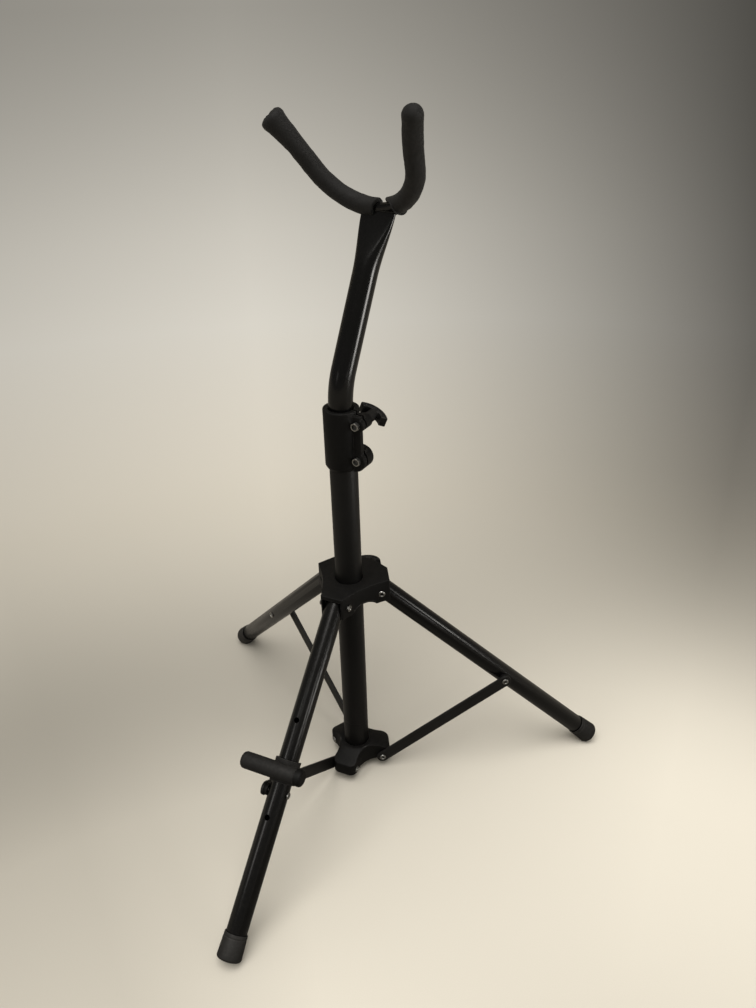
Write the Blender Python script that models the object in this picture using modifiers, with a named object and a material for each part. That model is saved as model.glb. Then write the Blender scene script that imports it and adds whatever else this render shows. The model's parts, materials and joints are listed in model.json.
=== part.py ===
"""Baritone saxophone stand: a folding tripod with a sliding leg collar, a clamped upper tube and a padded yoke.

Run with: blender --background --python part.py
Metres, +Z up. The floor is z = 0 and the front leg, which carries the bow rest, points to -Y.
The origin is on the floor, at the middle of the box round the whole stand.
"""
import math

import bmesh
import bpy
from mathutils import Matrix, Vector

OBJECT_NAME = "baritone_sax_stand"

# Clearances
GAP = 0.0003
FOAM_GAP = 0.0006
OVERCUT = 0.002
DRILL_REACH = 0.030

# Column
COLUMN_RADIUS = 0.015
COLUMN_WALL = 0.0012
COLUMN_TOP = 0.468
CRIMP_HEIGHT = 0.034
CRIMP_DEPTH = 0.0005
CRIMP_WIDTH = 0.003
PLUG_LENGTH = 0.022

# Screw up through the hub into the column's plug
HUB_SCREW_RADIUS = 0.0020
HUB_SCREW_LENGTH = 0.0176
HUB_SCREW_SINK = 0.0005
HUB_SCREW_HEAD_RADIUS = 0.0045
HUB_SCREW_HEAD_HEIGHT = 0.0028
HUB_SCREW_HOLE_RADIUS = 0.0026
HUB_SCREW_RECESS_RADIUS = 0.0050
HUB_SCREW_RECESS_DEPTH = 0.0036

# Bush between the column and the upper tube
BUSH_LENGTH = 0.030
BUSH_FLANGE = 0.0015

# Upper tube
UPPER_RADIUS = 0.0127
UPPER_WALL = 0.0012
UPPER_FOOT = 0.262
BEND_RISE = 0.0211
BEND_RADIUS = 0.080
UPPER_LEAN = math.radians(26.5)
UPPER_TURN = math.radians(-8.8)
UPPER_REACH = 0.1745
PRESSED_LENGTH = 0.062
PRESSED_WIDTH = 0.039
PRESSED_THICKNESS = 0.0045
PRESSED_SQUARENESS = 0.45
GLIDE_LENGTH = 0.014
GLIDE_FLANGE = 0.004

# Yoke
ROD_RADIUS = 0.005
FOAM_RADIUS = 0.0094
YOKE_RADIUS = 0.0645
YOKE_SWEEP = math.radians(73.5)
YOKE_ARM_LEFT = 0.0575
YOKE_ARM_RIGHT = 0.0545
YOKE_FLARE = math.radians(10.0)
YOKE_PITCH = math.radians(62.0)
YOKE_TILT = math.radians(8.2)
YOKE_TWIST = math.radians(-6.5)
YOKE_SINK = 0.0020
YOKE_SIDE = 0.0012
FOAM_START_LEFT = 0.0025
FOAM_START_RIGHT = 0.0100
FOAM_OVERHANG = 0.004

# Legs
LEG_RADIUS = 0.011
LEG_WALL = 0.0012
LEG_LENGTH = 0.3683
LEG_ANGLE = math.radians(44.15)
LEG_HEAD = 0.008
LEG_AZIMUTHS = {"front": -90.0, "right": 30.0, "left": 150.0}
PIVOT_RADIUS = 0.035
LEG_PLUG_LENGTH = 0.020

# Rubber feet
CAP_MOUTH_RADIUS = 0.0122
CAP_FOOT_RADIUS = 0.0131
CAP_LENGTH = 0.0262
CAP_END = 0.004
CAP_ROUND = 0.003
CAP_LIP = 0.0005
FOOT_FLAT = 0.0005

# Leg spider, the collar that carries the three legs
SPIDER_RISE = 0.0154
SPIDER_DEPTH = 0.027
SPIDER_LID = 0.0045
SPIDER_REACH = 0.0447
SPIDER_TIP_HALF = 0.0128
SPIDER_WAIST = 0.0296
SPIDER_BARREL = 0.0195
SPIDER_ARCH_RADIUS = 0.022
SPIDER_ARCH_DROP = 0.015
SPIDER_ARCH_BITE = 0.0005
BOSS_REACH = 0.0430
BOSS_HALF = 0.0095
BOSS_SHOULDER_REACH = 0.0396
BOSS_SHOULDER_HALF = 0.0176
CHANNEL_HALF = 0.0114

# Lock screw of the spider
LOCK_DROP = 0.0115
LOCK_SCREW_RADIUS = 0.004
LOCK_INSERT_RADIUS = 0.0058
LOCK_INSERT_LENGTH = 0.012
LOCK_NECK_LENGTH = 0.008
LOCK_SCREW_DEPTH = 0.0048
LOCK_TURN = math.radians(-10.0)

# Wing knobs
KNOB_NECK_RADIUS = 0.0065
KNOB_NECK_TAPER = 0.85
KNOB_ARC_RADIUS = 0.0220
KNOB_THICKNESS = 0.0068
KNOB_HALF_SPAN = 0.0168
KNOB_WIDTH = 0.0110
KNOB_EDGE = 0.0022
KNOB_TIP_SHARE = 0.95

# Hub at the foot of the column
HUB_BOTTOM = 0.0118
HUB_TOP = 0.0370
HUB_RIM_DROP = 0.0091
HUB_FLAT_RADIUS = 0.020
HUB_REACH = 0.0407
HUB_WAIST = 0.0208
HUB_FLANK_RADIUS = 0.030
HUB_CORNER_RADIUS = 0.008
HUB_SEAT_HALF = 0.0140
HUB_SOCKET_FLOOR = 0.0172

# Stays, the flat bars from the hub to the legs
STAY_WIDTH = 0.0147
STAY_THICKNESS = 0.003
STAY_LEG_SHARE = 0.5575
STAY_HUB_RADIUS = 0.031
STAY_HUB_RISE = 0.0050
SPACER_THICKNESS = 0.0034
SPACER_RADIUS = 0.0064

# Tubular rivets
RIVET_SHANK = 0.0026
RIVET_BORE = 0.0014
RIVET_HEAD = 0.0039
RIVET_HEAD_THICKNESS = 0.0011
RIVET_DISH = 0.6
RIVET_EDGE = 0.5
PIVOT_SEAT_HALF = 0.0168
PIVOT_SEAT_DEPTH = 0.0052

# Clamp collar round the top of the column; each RISE but its own is from the collar's foot
CLAMP_GRIP = 0.0452
CLAMP_RISE = 0.0205
CLAMP_RADIUS = 0.01875
CLAMP_CHAMFER = 0.0035
CLAMP_FOOT_INSET = 0.0018
CLAMP_EDGE = 0.0006
CLAMP_TURN = math.radians(-6.0)
CLAMP_SLOT = 0.003
CLAMP_SLOT_ROOT = 0.004
EAR_REACH = 0.0262
EAR_HALF = 0.0065
EAR_ROOT = 0.010
EAR_FOOT_RISE = 0.0065
EAR_TOP_DROP = 0.004
SCREW_REACH = 0.0218
SCREW_LOWER_RISE = 0.0130
SCREW_UPPER_RISE = 0.0522
LOBE_LOWER = 0.0120
LOBE_LOWER_REACH = 0.0178
LOBE_LOWER_RISE = 0.0118
EAR_NOTCH_REACH = 0.0212
EAR_NOTCH_RISE = 0.0227
EAR_NOTCH_HEIGHT = 0.0230
LOBE_UPPER = 0.0078
LOBE_DEPTH = 0.0125
CLAMP_SCREW_RADIUS = 0.0028
CAP_HEAD_RADIUS = 0.0042
CAP_HEAD_HEIGHT = 0.0035
CAP_HEAD_EDGE = 0.0004
CAP_SOCKET_RADIUS = 0.0023
CAP_SOCKET_FLOOR = 0.0008
NUT_RADIUS = 0.0046
NUT_HEIGHT = 0.0040
CLAMP_NECK_LENGTH = 0.0140
CLAMP_BOLT_DEPTH = 0.0098
CLAMP_BOLT_TAIL = 0.0008
CLAMP_KNOB_TURN = math.radians(23.5)

# Bow rest on the front leg
PEG_SPACING = 0.0229
PEG_RADIUS = 0.0090
PEG_LEFT = 0.0410
PEG_RIGHT = 0.0305
PEG_ROUND = 0.0040
PEG_STANDOFF = 0.0215
SADDLE_LENGTH = 0.0240
SADDLE_WALL = 0.0026
SADDLE_WRAP = 0.45
PEG_CORE_RADIUS = 0.0045
PEG_CORE_COVER = 0.0060
PEG_CAP_THICKNESS = 0.0083
PEG_CAP_EDGE = 0.0030
PEG_PIN_SHIFT = -0.0024
PEG_PIN_RADIUS = 0.0020
PEG_PIN_REACH = 0.0060
PEG_PIN_COVER = 0.0022
HOLE_RADIUS = 0.0031
HOLE_PITCH = 0.0508

ROUND_STEPS = 36
TUBE_STEPS = 28
SMALL_STEPS = 16
RIVET_STEPS = 12

# Heights and places that follow from the sizes above
PIVOT_HEIGHT = ((LEG_LENGTH + CAP_END - CAP_ROUND) * math.sin(LEG_ANGLE)
                + (CAP_FOOT_RADIUS - CAP_ROUND) * math.cos(LEG_ANGLE) + CAP_ROUND - FOOT_FLAT)
SPIDER_TOP = PIVOT_HEIGHT + SPIDER_RISE
CLAMP_BOTTOM = COLUMN_TOP - CLAMP_GRIP
CLAMP_TOP = COLUMN_TOP + CLAMP_RISE
BEND_HEIGHT = CLAMP_TOP + BEND_RISE
FOOT_AXIS = PIVOT_RADIUS + (LEG_LENGTH + CAP_END - CAP_ROUND) * math.cos(LEG_ANGLE)
FOOT_REACH = FOOT_AXIS + (CAP_FOOT_RADIUS - CAP_ROUND) * math.sin(LEG_ANGLE) + CAP_ROUND
STAY_LEG_DISTANCE = LEG_LENGTH * STAY_LEG_SHARE
STAY_OUTER = Vector((PIVOT_RADIUS + STAY_LEG_DISTANCE * math.cos(LEG_ANGLE), 0.0,
                     PIVOT_HEIGHT - STAY_LEG_DISTANCE * math.sin(LEG_ANGLE)))
STAY_INNER = Vector((STAY_HUB_RADIUS, 0.0, HUB_BOTTOM + STAY_HUB_RISE))
STAY_LENGTH = (STAY_OUTER - STAY_INNER).length
STAY_ANGLE = math.asin((STAY_OUTER.z - STAY_INNER.z) / STAY_LENGTH)
STAY_FACE = LEG_RADIUS + 2 * GAP + SPACER_THICKNESS + GAP
STAY_OUTER_FACE = STAY_FACE + STAY_THICKNESS + GAP
PEG_DISTANCE = STAY_LEG_DISTANCE - PEG_SPACING
FOOTPRINT_BACK = FOOT_AXIS / 2 + CAP_FOOT_RADIUS * math.sqrt(1 - (math.cos(LEG_ANGLE) / 2) ** 2)
COLUMN_Y = (FOOT_REACH - FOOTPRINT_BACK) / 2

MATERIALS = {
    "black_steel": ((0.012, 0.012, 0.013, 1.0), 0.32, 0.0),
    "black_plastic": ((0.018, 0.018, 0.018, 1.0), 0.62, 0.0),
    "black_rubber": ((0.020, 0.019, 0.018, 1.0), 0.78, 0.0),
    "black_foam": ((0.016, 0.016, 0.016, 1.0), 0.92, 0.0),
    "zinc": ((0.62, 0.62, 0.60, 1.0), 0.30, 1.0),
    "brass": ((0.60, 0.45, 0.20, 1.0), 0.35, 1.0),
    "nylon": ((0.62, 0.61, 0.57, 1.0), 0.55, 0.0),
}


def clear_scene():
    """Removes every object of the scene, so that the script starts from nothing."""
    for item in list(bpy.data.objects):
        bpy.data.objects.remove(item, do_unlink=True)


def make_material(name):
    """Returns the named material, made once from MATERIALS."""
    found = bpy.data.materials.get(name)
    if found:
        return found
    colour, roughness, metallic = MATERIALS[name]
    material = bpy.data.materials.new(name)
    material.use_nodes = True
    shader = material.node_tree.nodes["Principled BSDF"]
    shader.inputs["Base Color"].default_value = colour
    shader.inputs["Roughness"].default_value = roughness
    shader.inputs["Metallic"].default_value = metallic
    return material


class Workshop:
    """Holds the two collections and hands out frames, parts and cutters."""

    def __init__(self):
        self.parts = bpy.data.collections.new(OBJECT_NAME)
        self.cutters = bpy.data.collections.new("cutters")
        bpy.context.scene.collection.children.link(self.parts)
        bpy.context.scene.collection.children.link(self.cutters)
        self.root = self.frame("stand_axis", None, (0.0, COLUMN_Y, 0.0))

    def frame(self, name, parent, location=(0.0, 0.0, 0.0), rotation=(0.0, 0.0, 0.0)):
        """An empty that places what is parented to it."""
        empty = bpy.data.objects.new(name, None)
        empty.location = location
        empty.rotation_euler = rotation
        empty.parent = parent
        self.parts.objects.link(empty)
        return empty

    def add(self, data, name, parent, material=None, location=(0.0, 0.0, 0.0), rotation=(0.0, 0.0, 0.0)):
        """A visible part of the stand, or a hidden cutter where no material is given."""
        item = bpy.data.objects.new(name, data)
        item.location = location
        item.rotation_euler = rotation
        item.parent = parent
        if material:
            data.materials.append(make_material(material))
            self.parts.objects.link(item)
        else:
            item.hide_render = True
            item.display_type = "WIRE"
            self.cutters.objects.link(item)
        return item


def screw_profile(item, steps):
    """Turns the object's profile about its own Z axis."""
    screw = item.modifiers.new("turn", "SCREW")
    screw.steps = steps
    screw.render_steps = steps
    screw.use_merge_vertices = True
    screw.merge_threshold = 0.00001
    screw.use_smooth_shade = True


def profile_mesh(name, points, closed):
    """A chain of (radius, height) points in the XZ plane, down the outer side first."""
    mesh = bpy.data.meshes.new(name)
    count = len(points)
    edges = [(i, i + 1) for i in range(count - 1)]
    if closed:
        edges.append((count - 1, 0))
    mesh.from_pydata([(r, 0.0, z) for r, z in points], edges, [])
    return mesh


def turned(shop, name, parent, points, material=None, closed=False, steps=SMALL_STEPS, **place):
    """A turned solid. An open profile starts and ends on the axis; a closed one is a ring."""
    item = shop.add(profile_mesh(name, points, closed), name, parent, material, **place)
    screw_profile(item, steps)
    return item


def rod_points(radius, low, high):
    """Profile of a plain solid cylinder."""
    return [(0.0, high), (radius, high), (radius, low), (0.0, low)]


def ring_points(outer, inner, low, high):
    """Profile of a plain tube."""
    return [(outer, high), (outer, low), (inner, low), (inner, high)]


def arc_points(centre, radius, start, end, count):
    """Points on an arc in a plane, angles in radians."""
    step = (end - start) / (count - 1)
    return [(centre[0] + radius * math.cos(start + i * step),
             centre[1] + radius * math.sin(start + i * step)) for i in range(count)]


def outline_mesh(name, points, half_thickness):
    """A flat outline in the XY plane, thickened both ways, as one welded mesh."""
    curve = bpy.data.curves.new(name, "CURVE")
    curve.dimensions = "2D"
    curve.fill_mode = "BOTH"
    curve.extrude = half_thickness
    spline = curve.splines.new("POLY")
    spline.points.add(len(points) - 1)
    for point, (x, y) in zip(spline.points, points):
        point.co = (x, y, 0.0, 1.0)
    spline.use_cyclic_u = True
    guide = bpy.data.objects.new(name + "_outline", curve)
    bpy.context.scene.collection.objects.link(guide)
    mesh = bpy.data.meshes.new_from_object(guide.evaluated_get(bpy.context.evaluated_depsgraph_get()))
    bpy.data.objects.remove(guide, do_unlink=True)
    bpy.data.curves.remove(curve)
    shape = bmesh.new()
    shape.from_mesh(mesh)
    bmesh.ops.remove_doubles(shape, verts=shape.verts, dist=0.000001)
    bmesh.ops.recalc_face_normals(shape, faces=shape.faces)
    shape.to_mesh(mesh)
    shape.free()
    mesh.name = name
    return mesh


def box_mesh(name, low, high):
    """A box between two corners."""
    shape = bmesh.new()
    size = Vector(high) - Vector(low)
    middle = (Vector(high) + Vector(low)) / 2
    bmesh.ops.create_cube(shape, size=1.0, matrix=Matrix.Translation(middle) @ Matrix.Diagonal((*size, 1.0)))
    mesh = bpy.data.meshes.new(name)
    shape.to_mesh(mesh)
    shape.free()
    return mesh


def prism_mesh(name, sides, radius, low, high):
    """A regular prism about Z, for nuts and sockets."""
    shape = bmesh.new()
    middle = Matrix.Translation((0.0, 0.0, (low + high) / 2))
    bmesh.ops.create_cone(shape, cap_ends=True, segments=sides, radius1=radius, radius2=radius,
                          depth=high - low, matrix=middle)
    mesh = bpy.data.meshes.new(name)
    shape.to_mesh(mesh)
    shape.free()
    return mesh


def carve(item, cutter, operation="DIFFERENCE"):
    """Cuts the item with a cutter, or joins the cutter to it."""
    boolean = item.modifiers.new(operation.lower(), "BOOLEAN")
    boolean.operation = operation
    boolean.solver = "EXACT"
    boolean.object = cutter


def loft(name, rings, ring_shaped):
    """A skin over rings of equal point counts: capped at both ends, or closed on itself."""
    shape = bmesh.new()
    rows = [[shape.verts.new(point) for point in ring] for ring in rings]
    count = len(rows[0])
    pairs = list(zip(rows, rows[1:]))
    if ring_shaped:
        pairs.append((rows[-1], rows[0]))
    for a, b in pairs:
        for i in range(count):
            j = (i + 1) % count
            shape.faces.new((a[i], a[j], b[j], b[i]))
    if not ring_shaped:
        shape.faces.new(rows[0][::-1])
        shape.faces.new(rows[-1])
    bmesh.ops.recalc_face_normals(shape, faces=shape.faces)
    mesh = bpy.data.meshes.new(name)
    shape.to_mesh(mesh)
    shape.free()
    mesh.shade_smooth()
    mesh.set_sharp_from_angle(angle=math.radians(40.0))
    return mesh


def oval(frame, half_width, half_thickness, count):
    """A ring of points round a frame: width along its X, thickness along its Y, squarer where it is flat."""
    flatness = 1.0 - half_thickness / half_width
    power = 1.0 - PRESSED_SQUARENESS * flatness
    ring = []
    for i in range(count):
        angle = 2 * math.pi * i / count
        c, s = math.cos(angle), math.sin(angle)
        x = half_width * math.copysign(abs(c) ** power, c)
        y = half_thickness * math.copysign(abs(s) ** power, s)
        ring.append(frame @ Vector((x, y, 0.0)))
    return ring


def path_frames(points, side):
    """A frame at each point of a flat path, Z along the path and Y along the given side."""
    frames = []
    for i, point in enumerate(points):
        before = points[max(i - 1, 0)]
        after = points[min(i + 1, len(points) - 1)]
        along = (after - before).normalized()
        across = side.cross(along).normalized()
        turn = Matrix((across, side, along)).transposed().to_4x4()
        frames.append(Matrix.Translation(point) @ turn)
    return frames


def bent_tube(name, points, side, outer, inner, count):
    """A bent sleeve with open ends, along a flat path."""
    frames = path_frames(points, side)
    outside = [oval(frame, outer, outer, count) for frame in frames]
    inside = [oval(frame, inner, inner, count) for frame in reversed(frames)]
    return loft(name, outside + inside, True)


def rivet_end(face, way):
    """One rolled head of a tubular rivet, from the bore to the shank: way is 1 above its face, -1 below."""
    return [(RIVET_BORE, face + way * RIVET_HEAD_THICKNESS * RIVET_DISH),
            (RIVET_SHANK, face + way * RIVET_HEAD_THICKNESS),
            (RIVET_HEAD, face + way * RIVET_HEAD_THICKNESS * RIVET_EDGE),
            (RIVET_HEAD, face), (RIVET_SHANK, face)]


def rivet(shop, name, parent, low, high, low_head=True, high_head=True, **place):
    """A tubular rivet along its own Z, between two faces, with a rolled head at each end that has one."""
    top = rivet_end(high, 1) if high_head else [(RIVET_BORE, high), (RIVET_SHANK, high)]
    foot = rivet_end(low, -1) if low_head else [(RIVET_BORE, low), (RIVET_SHANK, low)]
    return turned(shop, name, parent, top + foot[::-1], "zinc", closed=True, steps=RIVET_STEPS, **place)


def wing_knob(shop, name, parent, neck_low, neck_high, turn, bore_radius, bore_depth, **place):
    """A knob along its own Z: a neck with a curved wing across its end and a blind bore for its screw."""
    root = neck_high + KNOB_THICKNESS / 2
    points = [(0.0, root), (KNOB_NECK_RADIUS * KNOB_NECK_TAPER, root),
              (KNOB_NECK_RADIUS, neck_low), (0.0, neck_low)]
    item = turned(shop, name, parent, points, "black_plastic", **place)
    sweep = math.asin(KNOB_HALF_SPAN / KNOB_ARC_RADIUS)
    crown = neck_high + KNOB_THICKNESS
    centre = (0.0, crown - KNOB_ARC_RADIUS)
    upright = math.pi / 2
    outer = arc_points(centre, KNOB_ARC_RADIUS, upright - sweep, upright + sweep, 11)
    tip = sweep * KNOB_TIP_SHARE
    inner = arc_points(centre, KNOB_ARC_RADIUS - KNOB_THICKNESS, upright + tip, upright - tip, 9)
    mesh = outline_mesh(name + "_wing", outer + inner, KNOB_WIDTH / 2)
    wing = shop.add(mesh, name + "_wing", parent, **place)
    bevel = wing.modifiers.new("round", "BEVEL")
    bevel.width = KNOB_EDGE
    bevel.segments = 2
    bevel.limit_method = "ANGLE"
    bevel.angle_limit = math.radians(50.0)
    base = Matrix.LocRotScale(wing.location, wing.rotation_euler, None)
    wing.matrix_local = base @ Matrix.Rotation(turn, 4, "Z") @ Matrix.Rotation(math.pi / 2, 4, "X")
    carve(item, wing, "UNION")
    bore = turned(shop, name + "_bore", parent, rod_points(bore_radius + GAP, neck_low - OVERCUT,
                                                           neck_low + bore_depth + GAP), **place)
    carve(item, bore)
    return item


def build_column(shop):
    """The column tube, the plug in its foot and the hub screw that holds it."""
    inner = COLUMN_RADIUS - COLUMN_WALL
    crimp = HUB_TOP + CRIMP_HEIGHT
    foot = HUB_SOCKET_FLOOR + GAP
    half = CRIMP_WIDTH / 2
    points = [(COLUMN_RADIUS, COLUMN_TOP),
              (COLUMN_RADIUS, crimp + half), (COLUMN_RADIUS - CRIMP_DEPTH, crimp),
              (COLUMN_RADIUS, crimp - half),
              (COLUMN_RADIUS, foot),
              (inner, foot), (inner, COLUMN_TOP)]
    turned(shop, "column_tube", shop.root, points, "black_steel", closed=True, steps=ROUND_STEPS)
    screw_hole = HUB_SCREW_RADIUS + GAP
    plug = ring_points(inner - GAP, screw_hole, foot, foot + PLUG_LENGTH)
    turned(shop, "column_plug", shop.root, plug, "nylon", closed=True, steps=ROUND_STEPS)
    low = HUB_BOTTOM + HUB_SCREW_SINK
    neck = low + HUB_SCREW_HEAD_HEIGHT
    tip = foot + HUB_SCREW_LENGTH
    screw = [(0.0, tip), (HUB_SCREW_RADIUS, tip), (HUB_SCREW_RADIUS, neck), (HUB_SCREW_HEAD_RADIUS, neck),
             (HUB_SCREW_HEAD_RADIUS, low), (0.0, low)]
    turned(shop, "hub_screw", shop.root, screw, "zinc")


def hub_outline():
    """Three arms with square ends and round corners, joined by hollow flanks that run into the corners."""
    half_turn = math.pi / 3
    flank = Vector((math.cos(half_turn), math.sin(half_turn))) * (HUB_WAIST + HUB_FLANK_RADIUS)
    corner_x = HUB_REACH - HUB_CORNER_RADIUS
    apart = HUB_FLANK_RADIUS + HUB_CORNER_RADIUS
    corner_y = flank.y - math.sqrt(apart ** 2 - (flank.x - corner_x) ** 2)
    sweep = math.atan2(flank.y - corner_y, flank.x - corner_x)
    start = sweep - math.pi
    middle = half_turn - math.pi
    arm = arc_points((corner_x, -corner_y), HUB_CORNER_RADIUS, -sweep, 0.0, 7)
    arm += arc_points((corner_x, corner_y), HUB_CORNER_RADIUS, 0.0, sweep, 7)
    arm += arc_points(flank, HUB_FLANK_RADIUS, start, 2 * middle - start, 13)[1:-1]
    points = []
    for azimuth in LEG_AZIMUTHS.values():
        turn = math.radians(azimuth)
        for x, y in arm:
            points.append((x * math.cos(turn) - y * math.sin(turn), x * math.sin(turn) + y * math.cos(turn)))
    return points


def build_hub(shop):
    """The hub under the column, and the rivets in its three arms that hold the stays' inner ends."""
    middle = (HUB_TOP + HUB_BOTTOM) / 2
    body = shop.add(outline_mesh("hub", hub_outline(), (HUB_TOP - HUB_BOTTOM) / 2), "hub", shop.root,
                    "black_plastic", location=(0.0, 0.0, middle))
    steepness = HUB_RIM_DROP / (HUB_REACH - HUB_FLAT_RADIUS)
    outside = HUB_REACH + 2 * OVERCUT
    dome = [(0.0, HUB_TOP + 2 * OVERCUT), (outside, HUB_TOP + 2 * OVERCUT),
            (outside, HUB_TOP - steepness * (outside - HUB_FLAT_RADIUS)),
            (HUB_FLAT_RADIUS - OVERCUT, HUB_TOP + steepness * OVERCUT), (0.0, HUB_TOP + steepness * OVERCUT)]
    carve(body, turned(shop, "hub_slope", shop.root, dome, steps=ROUND_STEPS))
    carve(body, turned(shop, "hub_socket", shop.root,
                       rod_points(COLUMN_RADIUS + GAP, HUB_SOCKET_FLOOR, HUB_TOP + OVERCUT), steps=ROUND_STEPS))
    recess = HUB_BOTTOM + HUB_SCREW_RECESS_DEPTH
    screw = [(0.0, HUB_SOCKET_FLOOR + OVERCUT), (HUB_SCREW_HOLE_RADIUS, HUB_SOCKET_FLOOR + OVERCUT),
             (HUB_SCREW_HOLE_RADIUS, recess), (HUB_SCREW_RECESS_RADIUS, recess),
             (HUB_SCREW_RECESS_RADIUS, HUB_BOTTOM - OVERCUT), (0.0, HUB_BOTTOM - OVERCUT)]
    carve(body, turned(shop, "hub_screw_hole", shop.root, screw))
    across = (math.pi / 2, 0.0, 0.0)
    seat = RIVET_HEAD + 2 * GAP
    shank = RIVET_SHANK + GAP
    for side, arm in shop.arms.items():
        drill = [(0.0, DRILL_REACH), (shank, DRILL_REACH), (shank, -HUB_SEAT_HALF), (seat, -HUB_SEAT_HALF),
                 (seat, -DRILL_REACH), (0.0, -DRILL_REACH)]
        carve(body, turned(shop, "hub_pin_hole_" + side, arm, drill, location=STAY_INNER, rotation=across))
        rivet(shop, "hub_rivet_" + side, arm, -(HUB_SEAT_HALF + GAP), STAY_FACE - GAP, high_head=False,
              location=STAY_INNER, rotation=across)


def spider_outline():
    """Three square-ended arms with hollow flanks, and a broad boss at the back for the lock screw."""
    half_turn = math.radians(60.0)
    corner = Vector((SPIDER_REACH, SPIDER_TIP_HALF))
    waist = Vector((SPIDER_WAIST * math.cos(half_turn), SPIDER_WAIST * math.sin(half_turn)))
    next_corner = Vector((SPIDER_REACH, -SPIDER_TIP_HALF))
    spin = Matrix.Rotation(2 * half_turn, 2)
    next_corner = spin @ next_corner
    outward = waist.normalized()
    chord = (next_corner - corner).length / 2
    sagitta = outward.dot((corner + next_corner) / 2) - SPIDER_WAIST
    radius = (chord ** 2 + sagitta ** 2) / (2 * sagitta)
    centre = outward * (SPIDER_WAIST + radius)
    start = corner - centre
    first = math.atan2(start.y, start.x)
    end = next_corner - centre
    last = math.atan2(end.y, end.x)
    if last > first:
        last -= 2 * math.pi
    flank = arc_points(centre, radius, first, last, 9)[1:-1]
    points = []
    for side, azimuth in LEG_AZIMUTHS.items():
        turn = math.radians(azimuth)
        pieces = [(SPIDER_REACH, -SPIDER_TIP_HALF), (SPIDER_REACH, SPIDER_TIP_HALF)]
        if side == "right":
            points += [(x * math.cos(turn) - y * math.sin(turn), x * math.sin(turn) + y * math.cos(turn))
                       for x, y in pieces]
            points += [(BOSS_SHOULDER_HALF, BOSS_SHOULDER_REACH), (BOSS_HALF, BOSS_REACH),
                       (-BOSS_HALF, BOSS_REACH), (-BOSS_SHOULDER_HALF, BOSS_SHOULDER_REACH)]
            continue
        pieces += flank
        points += [(x * math.cos(turn) - y * math.sin(turn), x * math.sin(turn) + y * math.cos(turn))
                   for x, y in pieces]
    return points


def build_spider(shop):
    """The collar that slides on the column and carries the three legs and its lock screw."""
    middle = SPIDER_TOP - SPIDER_DEPTH / 2
    body = shop.add(outline_mesh("leg_spider", spider_outline(), SPIDER_DEPTH / 2), "leg_spider", shop.root,
                    "black_plastic", location=(0.0, 0.0, middle))
    low = SPIDER_TOP - SPIDER_DEPTH
    carve(body, turned(shop, "spider_bore", shop.root,
                       rod_points(COLUMN_RADIUS + GAP, low - OVERCUT, SPIDER_TOP + OVERCUT), steps=ROUND_STEPS))
    for side, arm in shop.arms.items():
        channel = box_mesh("spider_channel_" + side, (SPIDER_BARREL + GAP, -CHANNEL_HALF, low - OVERCUT),
                           (SPIDER_REACH + DRILL_REACH, CHANNEL_HALF, SPIDER_TOP - SPIDER_LID))
        carve(body, shop.add(channel, "spider_channel_" + side, arm))
        shank = RIVET_SHANK + GAP
        seat = RIVET_HEAD + 2 * GAP
        outside = PIVOT_SEAT_HALF + PIVOT_SEAT_DEPTH
        points = [(0.0, outside), (seat, outside), (seat, PIVOT_SEAT_HALF), (shank, PIVOT_SEAT_HALF),
                  (shank, -PIVOT_SEAT_HALF), (seat, -PIVOT_SEAT_HALF), (seat, -outside), (0.0, -outside)]
        carve(body, turned(shop, "spider_pin_hole_" + side, arm, points,
                           location=(PIVOT_RADIUS, 0.0, PIVOT_HEIGHT), rotation=(math.pi / 2, 0.0, 0.0)))
    for number in (-1, 1):
        turn = math.radians(-90.0 + number * 60.0)
        frame = shop.frame("spider_arch_frame_" + ("left" if number < 0 else "right"), shop.root,
                           (0.0, 0.0, low - SPIDER_ARCH_DROP), (0.0, math.pi / 2, turn))
        arch = turned(shop, "spider_arch_" + ("left" if number < 0 else "right"), frame,
                      rod_points(SPIDER_ARCH_RADIUS, SPIDER_BARREL - SPIDER_ARCH_BITE,
                                 SPIDER_REACH + DRILL_REACH), steps=ROUND_STEPS)
        carve(body, arch)
    lock = shop.frame("lock_axis", shop.root, (0.0, 0.0, SPIDER_TOP - LOCK_DROP), (-math.pi / 2, 0.0, 0.0))
    insert_low = BOSS_REACH - LOCK_INSERT_LENGTH
    carve(body, turned(shop, "lock_hole", lock, rod_points(LOCK_SCREW_RADIUS + GAP, COLUMN_RADIUS - OVERCUT,
                                                           BOSS_REACH + DRILL_REACH)))
    carve(body, turned(shop, "lock_insert_hole", lock,
                       rod_points(LOCK_INSERT_RADIUS + GAP, insert_low - GAP, BOSS_REACH + DRILL_REACH)))
    turned(shop, "lock_insert", lock, ring_points(LOCK_INSERT_RADIUS, LOCK_SCREW_RADIUS + GAP, insert_low,
                                                  BOSS_REACH + GAP), "brass", closed=True)
    neck_low = BOSS_REACH + 2 * GAP
    neck_high = neck_low + LOCK_NECK_LENGTH
    screw_end = neck_low + LOCK_SCREW_DEPTH
    turned(shop, "lock_screw", lock, rod_points(LOCK_SCREW_RADIUS, COLUMN_RADIUS + GAP, screw_end), "zinc")
    wing_knob(shop, "lock_knob", lock, neck_low, neck_high, LOCK_TURN, LOCK_SCREW_RADIUS, LOCK_SCREW_DEPTH)


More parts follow.
